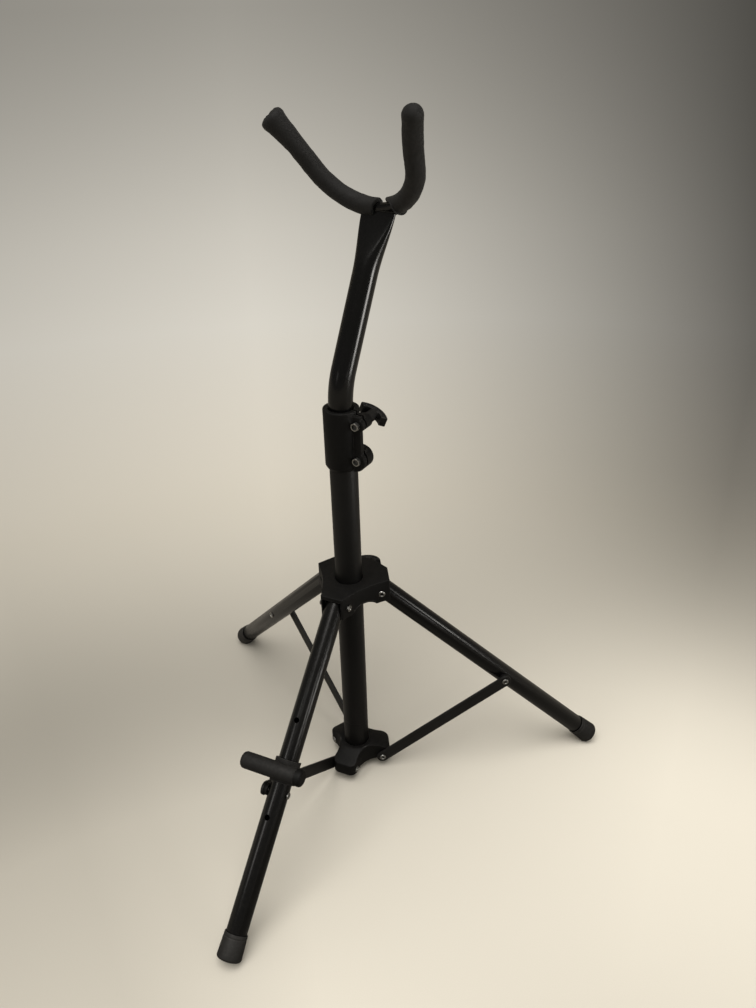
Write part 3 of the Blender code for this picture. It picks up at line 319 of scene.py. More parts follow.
@dataclass(frozen=True)
class Finish:
    """How a surface looks, and the record's slot that it belongs to."""

    name: str
    slot: str
    tone: float
    warmth: float
    roughness: float
    spread: float
    grain: float
    relief: float
    specular: float = 0.5

    def material(self) -> Material:
        """The finish as a material, made once."""
        found = bpy.data.materials.get(self.name)
        if found:
            return found
        made = bpy.data.materials.new(self.name)
        made.use_nodes = True
        shader = made.node_tree.nodes["Principled BSDF"]
        shader.inputs["Specular IOR Level"].default_value = self.specular
        self.dress(Nodes(made.node_tree), shader)
        return made

    def place(self, book: Nodes) -> NodeSocket:
        """The place on the piece that every pattern reads."""
        return book.add("TexCoord").outputs["Object"]

    def bump(self, book: Nodes, shader: Node, height: NodeSocket, distance: float) -> None:
        """Gives the shader a relief.

        Args:
            book: the material's nodes.
            shader: its Principled node.
            height: the relief's height, from 0 to 1.
            distance: how deep it is, in metres.
        """
        relief = book.add("Bump", {"Height": height, "Strength": self.relief, "Distance": distance})
        book.feed(shader.inputs["Normal"], relief.outputs[0])

    def dress(self, book: Nodes, shader: Node) -> None:
        """Links what varies over the surface into the shader."""
        raise NotImplementedError


@dataclass(frozen=True)
class PowderCoat(Finish):
    """Black powder coat on steel: orange peel, patches of gloss, rubbed edges with a painted edge highlight, and a
    little dust.
    """

    dust: float = 0.06
    wear_and_edge_highlight: float = 0.35

    def dress(self, book: Nodes, shader: Node) -> None:
        """Links what varies over the surface into the shader."""
        at = self.place(book)
        gloss = book.group(Effect.patches(), Vector=at, Scale=38.0, Low=self.roughness - self.spread,
                           High=self.roughness + self.spread).outputs[0]
        dust = book.group(Effect.dust(), Vector=at, Scale=420.0, Amount=self.dust).outputs[0]
        rubbed_and_highlit = book.group(Effect.wear_and_edge_highlight(), Vector=at, Radius=0.0005, Scale=260.0, Amount=self.wear_and_edge_highlight).outputs[0]
        depth = book.group(Effect.patches(), Vector=at, Scale=21.0, Low=0.0, High=1.0).outputs[0]
        coat = book.blend(depth, grey(self.tone * 0.8, self.warmth), grey(self.tone * 1.25, self.warmth))
        # Pale edges: partly rubbed wear, partly a painted highlight along the rims.
        edge_highlit = book.blend(rubbed_and_highlit, coat, grey(0.075, 0.03))
        book.feed(shader.inputs["Base Color"], book.blend(dust, edge_highlit, grey(0.24, 0.06)))
        book.feed(shader.inputs["Roughness"], book.math("ADD", gloss, dust))
        peel = book.group(Effect.grain(), Vector=at, Scale=self.grain, Pits=0.15).outputs[0]
        self.bump(book, shader, peel, 0.00010)


@dataclass(frozen=True)
class Moulded(Finish):
    """Moulded plastic or hard rubber: spark texture, pale edges that are partly rubbed wear and partly a painted
    highlight, faint flow marks and dust.
    """

    dust: float = 0.08
    wear_and_edge_highlight: float = 0.55
    edge_highlight_tone: float = 0.12

    def dress(self, book: Nodes, shader: Node) -> None:
        """Links what varies over the surface into the shader."""
        at = self.place(book)
        sheen = book.group(Effect.patches(), Vector=at, Scale=55.0, Low=self.roughness - self.spread,
                           High=self.roughness + self.spread).outputs[0]
        dust = book.group(Effect.dust(), Vector=at, Scale=330.0, Amount=self.dust).outputs[0]
        rubbed_and_highlit = book.group(Effect.wear_and_edge_highlight(), Vector=at, Radius=0.0007, Scale=340.0, Amount=self.wear_and_edge_highlight).outputs[0]
        stretched = book.add("Mapping", {"Vector": at, "Scale": (1.0, 1.0, 0.35)}).outputs[0]
        flow = book.group(Effect.patches(), Vector=stretched, Scale=70.0, Low=0.0, High=1.0).outputs[0]
        body = book.blend(flow, grey(self.tone * 0.75, self.warmth), grey(self.tone * 1.3, self.warmth))
        # Pale edges: partly rubbed wear, partly a painted highlight along the rims.
        edge_highlit = book.blend(rubbed_and_highlit, body, grey(self.edge_highlight_tone, 0.04))
        book.feed(shader.inputs["Base Color"], book.blend(dust, edge_highlit, grey(0.22, 0.06)))
        book.feed(shader.inputs["Roughness"], sheen)
        spark = book.group(Effect.grain(), Vector=at, Scale=self.grain, Pits=0.6).outputs[0]
        self.bump(book, shader, spark, 0.00016)


@dataclass(frozen=True)
class OpenFoam(Finish):
    """Closed-cell foam with a scuffed skin: small pores with painted shade in them, soft dents and pale mottling."""

    def dress(self, book: Nodes, shader: Node) -> None:
        """Links what varies over the surface into the shader."""
        at = self.place(book)
        mottle = book.group(Effect.patches(), Vector=at, Scale=115.0, Low=0.0, High=1.0).outputs[0]
        broad = book.group(Effect.patches(), Vector=at, Scale=26.0, Low=0.0, High=0.7).outputs[0]
        cells = book.add("TexVoronoi", {"Vector": at, "Scale": self.grain}).outputs["Distance"]
        pores = book.ranged(cells, 0.05, 0.55, 0.0, 1.0)
        skin = book.blend(mottle, grey(self.tone * 0.55, self.warmth), grey(self.tone * 1.35, self.warmth))
        worn = book.blend(broad, skin, grey(self.tone * 1.6, self.warmth))
        # The pores are painted darker: painted shade in the small cell hollows.
        book.feed(shader.inputs["Base Color"], book.blend(pores, grey(self.tone * 0.3), worn))
        book.feed(shader.inputs["Roughness"], book.ranged(mottle, 0.0, 1.0, self.roughness - self.spread,
                                                          self.roughness + self.spread))
        dents = book.math("MULTIPLY", book.noise(at, 260.0, 4.0), 1.6)
        self.bump(book, shader, book.math("ADD", pores, dents), 0.00022)
        shader.inputs["Sheen Weight"].default_value = 0.04
        shader.inputs["Sheen Roughness"].default_value = 0.6


@dataclass(frozen=True)
class Metal(Finish):
    """Plated or bare metal: fine tooling and dull patches."""

    tint: tuple[float, float, float, float] = (0.50, 0.50, 0.48, 1.0)
    dull: tuple[float, float, float, float] = (0.26, 0.25, 0.23, 1.0)

    def dress(self, book: Nodes, shader: Node) -> None:
        """Links what varies over the surface into the shader."""
        at = self.place(book)
        stain = book.group(Effect.patches(), Vector=at, Scale=620.0, Low=0.0, High=0.6).outputs[0]
        polish = book.group(Effect.patches(), Vector=at, Scale=900.0, Low=self.roughness - self.spread,
                            High=self.roughness + self.spread).outputs[0]
        book.feed(shader.inputs["Base Color"], book.blend(stain, self.tint, self.dull))
        book.feed(shader.inputs["Roughness"], polish)
        shader.inputs["Metallic"].default_value = 1.0
        tooling = book.group(Effect.grain(), Vector=at, Scale=self.grain, Pits=0.2).outputs[0]
        self.bump(book, shader, tooling, 0.00006)


SATIN_COAT = PowderCoat("powder_coat_satin", "black_steel", 0.0030, 0.03, 0.38, 0.04, 900.0, 0.12, 0.32)
GLOSS_COAT = PowderCoat("powder_coat_gloss", "black_steel", 0.0016, 0.03, 0.20, 0.02, 700.0, 0.05, 0.42, dust=0.02)
LEG_COAT = PowderCoat("powder_coat_leg", "black_steel", 0.0022, 0.04, 0.22, 0.03, 760.0, 0.05, 0.42, dust=0.03)
BAR_COAT = PowderCoat("powder_coat_bar", "black_steel", 0.0060, 0.06, 0.46, 0.05, 1100.0, 0.20, 0.34, dust=0.06)
PLASTIC = Moulded("plastic_matte", "black_plastic", 0.0032, 0.05, 0.54, 0.05, 1500.0, 0.25, 0.20, dust=0.02)
KNOB_PLASTIC = Moulded("plastic_knob", "black_plastic", 0.0055, 0.05, 0.50, 0.06, 1700.0, 0.30, 0.30, wear_and_edge_highlight=0.8, dust=0.04)
CAP_RUBBER = Moulded("rubber_foot", "black_rubber", 0.0110, 0.06, 0.60, 0.06, 1300.0, 0.30, 0.35, dust=0.08)
REST_RUBBER = Moulded("rubber_rest", "black_rubber", 0.0085, 0.06, 0.66, 0.05, 1250.0, 0.25, 0.30, dust=0.05)
SLEEVE_FOAM = OpenFoam("foam_sleeve", "black_foam", 0.0065, 0.06, 0.74, 0.08, 1500.0, 0.26, 0.42)
ZINC = Metal("zinc_plate", "zinc", 0.7, 0.0, 0.30, 0.08, 3000.0, 0.40)
BRASS = Metal("brass_turned", "brass", 0.6, 0.0, 0.34, 0.08, 3000.0, 0.40,
              tint=(0.62, 0.46, 0.20, 1.0), dull=(0.34, 0.24, 0.11, 1.0))
SCREW_STEEL = Metal("screw_steel", "zinc", 0.2, 0.0, 0.38, 0.08, 3000.0, 0.40,
                    tint=(0.10, 0.10, 0.10, 1.0), dull=(0.04, 0.04, 0.04, 1.0))
NYLON = Moulded("nylon_natural", "nylon", 0.5200, 0.03, 0.52, 0.05, 1400.0, 0.30, 0.5, wear_and_edge_highlight=0.0, dust=0.02)


# Shapes

class Join(Enum):
    """How a second shape is put to the first."""

    ADD = "UNION"
    CUT = "DIFFERENCE"
    KEEP = "INTERSECT"


class Shape:
    """A mesh that bmesh operators work on until it is a finished piece."""

    def __init__(self) -> None:
        """Starts with nothing."""
        self.bm = bmesh.new()

    @classmethod
    def turned(cls, profile: Outline, steps: int = SMALL_STEPS, ring: bool = False) -> "Shape":
        """A profile of (radius, height) points spun about Z.

        Args:
            profile: the points; they start and end on the axis unless ring is true.
            steps: the steps of a full turn.
            ring: whether the profile closes on itself away from the axis.

        Returns:
            The turned shape.
        """
        shape = cls()
        verts = [shape.bm.verts.new((radius, 0.0, height)) for radius, height in profile]
        pairs = list(zip(verts, verts[1:]))
        if ring:
            pairs.append((verts[-1], verts[0]))
        edges = [shape.bm.edges.new(pair) for pair in pairs]
        bmesh.ops.spin(shape.bm, geom=verts + edges, cent=(0.0, 0.0, 0.0), axis=(0.0, 0.0, 1.0), dvec=(0.0, 0.0, 0.0),
                       angle=2 * math.pi, steps=steps, use_merge=True, use_duplicate=False)
        return shape.welded()

    @classmethod
    def slab(cls, outline: Outline, low: float, high: float) -> "Shape":
        """A flat outline in the XY plane, drawn out from low to high."""
        shape = cls()
        face = shape.bm.faces.new([shape.bm.verts.new((x, y, low)) for x, y in outline])
        drawn = bmesh.ops.extrude_face_region(shape.bm, geom=[face], use_keep_orig=True)
        moved = [item for item in drawn["geom"] if isinstance(item, bmesh.types.BMVert)]
        bmesh.ops.translate(shape.bm, verts=moved, vec=(0.0, 0.0, high - low))
        return shape.welded()

    @classmethod
    def block(cls, low: Sequence[float], high: Sequence[float]) -> "Shape":
        """A box between two corners."""
        shape = cls()
        size = Vector(high) - Vector(low)
        middle = (Vector(high) + Vector(low)) / 2
        bmesh.ops.create_cube(shape.bm, size=1.0, matrix=Matrix.Translation(middle) @ Matrix.Diagonal((*size, 1.0)))
        return shape

    @classmethod
    def prism(cls, sides: int, radius: float, low: float, high: float) -> "Shape":
        """A regular prism about Z."""
        shape = cls()
        bmesh.ops.create_cone(shape.bm, cap_ends=True, segments=sides, radius1=radius, radius2=radius,
                              depth=high - low, matrix=shift(z=(low + high) / 2))
        return shape

    @classmethod
    def skinned(cls, rings: Sequence[Sequence[Vector]], closed: bool = False) -> "Shape":
        """A skin bridged over rings of equal counts.

        Args:
            rings: the points of each ring.
            closed: whether the last ring joins the first; if not, both ends are filled.

        Returns:
            The skinned shape.
        """
        shape = cls()
        loops = []
        for points in rings:
            circle = bmesh.ops.create_circle(shape.bm, cap_ends=False, segments=len(points), radius=1.0)["verts"]
            for vert, point in zip(circle, points):
                vert.co = point
            loops.append(list({edge for vert in circle for edge in vert.link_edges}))
        pairs = list(zip(loops, loops[1:]))
        if closed:
            pairs.append((loops[-1], loops[0]))
        for first, second in pairs:
            bmesh.ops.bridge_loops(shape.bm, edges=first + second)
        if not closed:
            for loop in (loops[0], loops[-1]):
                bmesh.ops.edgeloop_fill(shape.bm, edges=loop)
        return shape.welded()

    def welded(self) -> "Shape":
        """Merges doubles and points every face outwards."""
        bmesh.ops.remove_doubles(self.bm, verts=self.bm.verts, dist=0.000002)
        bmesh.ops.dissolve_degenerate(self.bm, edges=self.bm.edges, dist=0.000001)
        bmesh.ops.recalc_face_normals(self.bm, faces=self.bm.faces)
        return self

    def placed(self, place: Matrix) -> "Shape":
        """Moves the whole shape."""
        bmesh.ops.transform(self.bm, matrix=place, verts=self.bm.verts)
        return self

    def rounded(self, width: float, segments: int = 3, least: float = 40.0,
                where: Optional[Callable[[Vector], bool]] = None) -> "Shape":
        """Bevels the sharp edges.

        Args:
            width: the width of the bevel.
            segments: its steps.
            least: only edges sharper than this many degrees.
            where: says whether an edge at this middle point is bevelled.

        Returns:
            The same shape.
        """
        chosen = [edge for edge in self.bm.edges
                  if len(edge.link_faces) == 2 and edge.calc_face_angle(0.0) > math.radians(least)
                  and (where is None or where((edge.verts[0].co + edge.verts[1].co) / 2))]
        bmesh.ops.bevel(self.bm, geom=chosen, affect="EDGES", offset=width, offset_type="OFFSET",
                        segments=segments, profile=0.5, material=-1, clamp_overlap=True)
        return self

    def as_object(self, name: str) -> Object:
        """The shape as an object in the scene; the shape itself is used up."""
        mesh = bpy.data.meshes.new(name)
        self.bm.to_mesh(mesh)
        self.bm.free()
        item = bpy.data.objects.new(name, mesh)
        bpy.context.scene.collection.objects.link(item)
        return item

    def put(self, how: Join, *others: "Shape") -> "Shape":
        """Adds, cuts or keeps the common part of other shapes, one after another.

        Args:
            how: what is done.
            others: the other shapes, which are used up.

        Returns:
            The same shape.
        """
        for other in others:
            own = self.as_object("own")
            tool = other.as_object("tool")
            boolean = own.modifiers.new("boolean", "BOOLEAN")
            boolean.operation = how.value
            boolean.solver = "EXACT"
            boolean.object = tool
            bpy.context.view_layer.update()
            made = bpy.data.meshes.new_from_object(own.evaluated_get(bpy.context.evaluated_depsgraph_get()))
            self.bm = bmesh.new()
            self.bm.from_mesh(made)
            for item in (own, tool):
                mesh = item.data
                bpy.data.objects.remove(item, do_unlink=True)
                bpy.data.meshes.remove(mesh)
            bpy.data.meshes.remove(made)
            bmesh.ops.remove_doubles(self.bm, verts=self.bm.verts, dist=0.000002)
        return self

    def beside(self, other: "Shape") -> "Shape":
        """Takes in another shape as a shell of its own; the other is used up."""
        mesh = bpy.data.meshes.new("shell")
        other.bm.to_mesh(mesh)
        other.bm.free()
        self.bm.from_mesh(mesh)
        bpy.data.meshes.remove(mesh)
        return self

    def piece(self, name: str, finish: Finish, body: str, *nodes: str, smooth: float = 32.0) -> Object:
        """Makes the shape a finished piece of the stand.

        Args:
            name: the piece's name.
            finish: its surface.
            body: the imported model's body that it moves with.
            nodes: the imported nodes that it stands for.
            smooth: edges sharper than this many degrees stay crisp.

        Returns:
            The piece.
        """
        item = self.as_object(name)
        item.data.shade_smooth()
        item.data.set_sharp_from_angle(angle=math.radians(smooth))
        item.data.materials.append(finish.material())
        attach(item, body)
        if nodes:
            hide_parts(*nodes)
        log.info("%s rides on %s, %d faces", name, body, len(item.data.polygons))
        return item


# Where things are

class Side(Enum):
    """The three legs, by the way each points, in degrees from +X."""

    FRONT = -90.0
    RIGHT = 30.0
    LEFT = 150.0

    @property
    def word(self) -> str:
        """The leg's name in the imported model."""
        return self.name.lower()


class Layout:
    """The axes of the stand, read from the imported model."""

    def __init__(self) -> None:
        """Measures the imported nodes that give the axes."""
        low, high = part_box("column_tube")
        self.column_y = (low.y + high.y) / 2
        self.column_top = high.z
        self.column_foot = low.z
        pivot = self.middle("pivot_rivet_front")
        hub_pin = self.middle("hub_rivet_front")
        outer = self.middle("stay_rivet_front")
        self.pivot_reach = self.column_y - pivot.y
        self.pivot_height = pivot.z
        self.pin_reach = self.column_y - hub_pin.y
        self.pin_height = hub_pin.z
        reach = self.column_y - outer.y
        self.leg_slope = math.atan2(pivot.z - outer.z, reach - self.pivot_reach)
        self.stay_slope = math.atan2(outer.z - hub_pin.z, reach - self.pin_reach)
        self.stay_length = math.hypot(outer.z - hub_pin.z, reach - self.pin_reach)
        self.stay_distance = math.hypot(pivot.z - outer.z, reach - self.pivot_reach)

    @staticmethod
    def middle(node: str) -> Vector:
        """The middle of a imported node's box."""
        low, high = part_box(node)
        return (low + high) / 2

    def axis(self) -> Matrix:
        """The column's axis, with its foot on the floor."""
        return shift(y=self.column_y)

    def arm(self, side: Side) -> Matrix:
        """The axis turned so that X points along a leg."""
        return self.axis() @ spin_z(side.value)

    def leg(self, side: Side) -> Matrix:
        """A leg's pivot, with X down the leg."""
        return (self.arm(side) @ shift(x=self.pivot_reach, z=self.pivot_height)
                @ Matrix.Rotation(self.leg_slope, 4, "Y"))

    def pin(self, side: Side) -> Matrix:
        """A stay's inner pin, square to the hub."""
        return self.arm(side) @ shift(x=self.pin_reach, z=self.pin_height)

    def stay(self, side: Side) -> Matrix:
        """A stay's inner pin, with X along the stay."""
        return self.pin(side) @ Matrix.Rotation(-self.stay_slope, 4, "Y")


# Sub-assemblies

@dataclass(frozen=True)
class Rivets:
    """Tubular rivets with rolled heads."""

    shank: float = 0.0026
    bore: float = 0.0017
    head: float = 0.0039
    rise: float = 0.0011

    def rolled(self, face: float, way: float) -> Outline:
        """The profile of a rolled head, from the bore to the shank.

        Args:
            face: the height of what the head sits on.
            way: +1 for a head above its face, -1 for one below.

        Returns:
            The profile's points.
        """
        crown = self.rise * way
        return [(self.bore, face + crown * 0.35), (self.bore + 0.0002, face + crown * 0.75),
                (self.shank * 0.80, face + crown * 0.97), (self.shank, face + crown),
                (self.shank + 0.0006, face + crown * 0.92), (self.head - 0.0003, face + crown * 0.60),
                (self.head, face + crown * 0.25), (self.head - 0.0001, face), (self.shank, face)]

    def shape(self, low: float, high: float, headed: tuple[bool, bool] = (True, True)) -> Shape:
        """A rivet along Z.

        Args:
            low: the face under its lower head.
            high: the face under its upper head.
            headed: whether the lower and the upper end have a head.

        Returns:
            The rivet.
        """
        top = self.rolled(high, 1.0) if headed[1] else [(self.bore, high), (self.shank, high)]
        foot = self.rolled(low, -1.0) if headed[0] else [(self.bore, low), (self.shank, low)]
        return Shape.turned(top + foot[::-1], 32, ring=True)


RIVETS = Rivets()


@dataclass(frozen=True)
class Column:
    """The column tube with its crimp ring."""

    radius: float = 0.0150
    wall: float = 0.0012
    crimp_height: float = 0.0710
    crimp_depth: float = 0.0002
    crimp_half: float = 0.0016

    def build(self, at: Layout) -> None:
        """Makes the tube."""
        inner = self.radius - self.wall
        groove = [(self.radius - self.crimp_depth * math.cos(f * UPRIGHT) ** 2, self.crimp_height + self.crimp_half * f)
                  for f in (1.0, 0.75, 0.5, 0.25, 0.0, -0.25, -0.5, -0.75, -1.0)]
        plain = pipe(self.radius, inner, at.column_foot, at.column_top, 0.0003)
        Shape.turned(plain[:3] + groove + plain[3:], ROUND_STEPS, ring=True).placed(at.axis()).piece(
            "column_painted", SATIN_COAT, "stand", "column_tube")


@dataclass(frozen=True)
class Hub:
    """The three-armed hub under the column, with the stays' inner pins."""

    bottom: float = 0.0118
    top: float = 0.0370
    rim_drop: float = 0.0091
    flat_radius: float = 0.0200
    reach: float = 0.0407
    waist: float = 0.0208
    flank_radius: float = 0.0300
    corner: float = 0.0080
    socket: float = 0.0153
    socket_floor: float = 0.0172
    recess: float = 0.0050
    edge: float = 0.0009
    seat_half: float = 0.0140
    pin_outer: float = 0.0150

    def outline(self) -> Outline:
        """Three arms with blunt ends and round corners, joined by hollow flanks that run into the corners."""
        half_turn = math.radians(60.0)
        flank = Vector((math.cos(half_turn), math.sin(half_turn))) * (self.waist + self.flank_radius)
        tip = self.reach - self.corner
        apart = self.flank_radius + self.corner
        half = flank.y - math.sqrt(apart ** 2 - (flank.x - tip) ** 2)
        sweep = math.atan2(flank.y - half, flank.x - tip)
        start = sweep - math.pi
        arm = arc((tip, -half), self.corner, -sweep, 0.0, 16) + arc((tip, half), self.corner, 0.0, sweep, 16)
        arm += arc((flank.x, flank.y), self.flank_radius, start, 2 * (half_turn - math.pi) - start, 33)[1:-1]
        return [turned_point(x, y, side.value) for side in Side for x, y in arm]

    def level(self, radius: float) -> float:
        """The height of the hub's sloping top at a radius."""
        steepness = self.rim_drop / (self.reach - self.flat_radius)
        return self.top - steepness * max(0.0, radius - self.flat_radius)

    def build(self, at: Layout) -> None:
        """Makes the hub and its three pins."""
        outline = [Vector((x, y, 0.0)) for x, y in self.outline()]

        def circle(radius: float, height: float) -> list[Vector]:
            return [p.normalized() * radius + Vector((0.0, 0.0, height)) for p in outline]

        def rim(inset: float, drop: float) -> list[Vector]:
            return [p.normalized() * (p.length - inset) + Vector((0.0, 0.0, self.level(p.length) - drop))
                    for p in outline]

        def foot(inset: float, height: float) -> list[Vector]:
            return [p.normalized() * (p.length - inset) + Vector((0.0, 0.0, height)) for p in outline]

        e = self.edge
        rings = [circle(self.socket, self.socket_floor), circle(self.socket, self.top - 0.0006),
                 circle(self.socket + 0.0003, self.top - 0.0001), circle(self.socket + 0.0010, self.top),
                 circle(self.flat_radius - 0.0006, self.top), circle(self.flat_radius + 0.0006, self.top - 0.0003),
                 rim(e * 1.6, -0.0004), rim(e, -0.0001), rim(e * 0.5, e * 0.18), rim(e * 0.15, e * 0.5), rim(0.0, e),
                 foot(0.0, self.bottom + e * 0.6), foot(e * 0.2, self.bottom + e * 0.2), foot(e * 0.6, self.bottom),
                 circle(self.recess, self.bottom), circle(self.recess, self.bottom + 0.0036)]
        body = Shape.skinned(rings)
        seat, shank = RIVETS.head + 2 * GAP, RIVETS.shank + GAP
        drill = [(0.0, 0.03), (shank, 0.03), (shank, -self.seat_half), (seat, -self.seat_half), (seat, -0.03),
                 (0.0, -0.03)]
        for side in Side:
            hole = Shape.turned(drill, 32)
            body.put(Join.CUT, hole.placed(spin_z(side.value) @ shift(x=at.pin_reach, z=at.pin_height) @ ACROSS))
        body.placed(at.axis()).piece("hub_moulding", PLASTIC, "stand", "hub")
        for side in Side:
            RIVETS.shape(-self.seat_half - GAP, self.pin_outer, (True, False)).placed(at.pin(side) @ ACROSS).piece(
                "hub_pin_" + side.word, ZINC, "stand", "hub_rivet_" + side.word)


@dataclass(frozen=True)
class WingKnob:
    """A knob with a curved wing across its neck."""

    neck: float = 0.0065
    bow: float = 0.0220
    thickness: float = 0.0068
    half_span: float = 0.0168
    width: float = 0.0110
    edge: float = 0.0009
    pocket: float = 0.0012

    def shape(self, low: float, high: float, turn: float) -> Shape:
        """A knob along Z.

        Args:
            low: the height of the neck's foot.
            high: the height where the wing begins.
            turn: the wing's turn about the axis, in degrees.

        Returns:
            The knob.
        """
        foot = [(0.0, high + self.thickness / 2), (self.neck * 0.86, high + self.thickness / 2),
                (self.neck * 0.90, high), (self.neck * 0.93, low + 0.0024), (self.neck, low + 0.0018),
                (self.neck, low + 0.0004), (self.neck - 0.0004, low), (0.0, low)]
        neck = Shape.turned(foot, SMALL_STEPS)
        sweep = math.asin(self.half_span / self.bow)
        centre = (0.0, high + self.thickness - self.bow)

        def crescent(inset: float) -> Outline:
            less = sweep - inset / self.bow
            outer = arc(centre, self.bow - inset, UPRIGHT - less, UPRIGHT + less, 33)
            inner = arc(centre, self.bow - self.thickness + inset, UPRIGHT + less * 0.95, UPRIGHT - less * 0.95, 29)
            return filleted(outer + inner, 0.0024 - inset * 0.6, 6)

        half = self.width / 2
        rim = ((0.0023, half - self.pocket), (0.0019, half - 0.0003), (0.0016, half), (self.edge, half),
               (self.edge * 0.3, half - self.edge * 0.3), (0.0, half - self.edge))
        sides = [(inset, -height) for inset, height in rim] + [(inset, height) for inset, height in reversed(rim)]
        wing = Shape.skinned([[Vector((x, y, height)) for x, y in crescent(inset)] for inset, height in sides])
        return neck.beside(wing.placed(spin_z(turn) @ ACROSS))


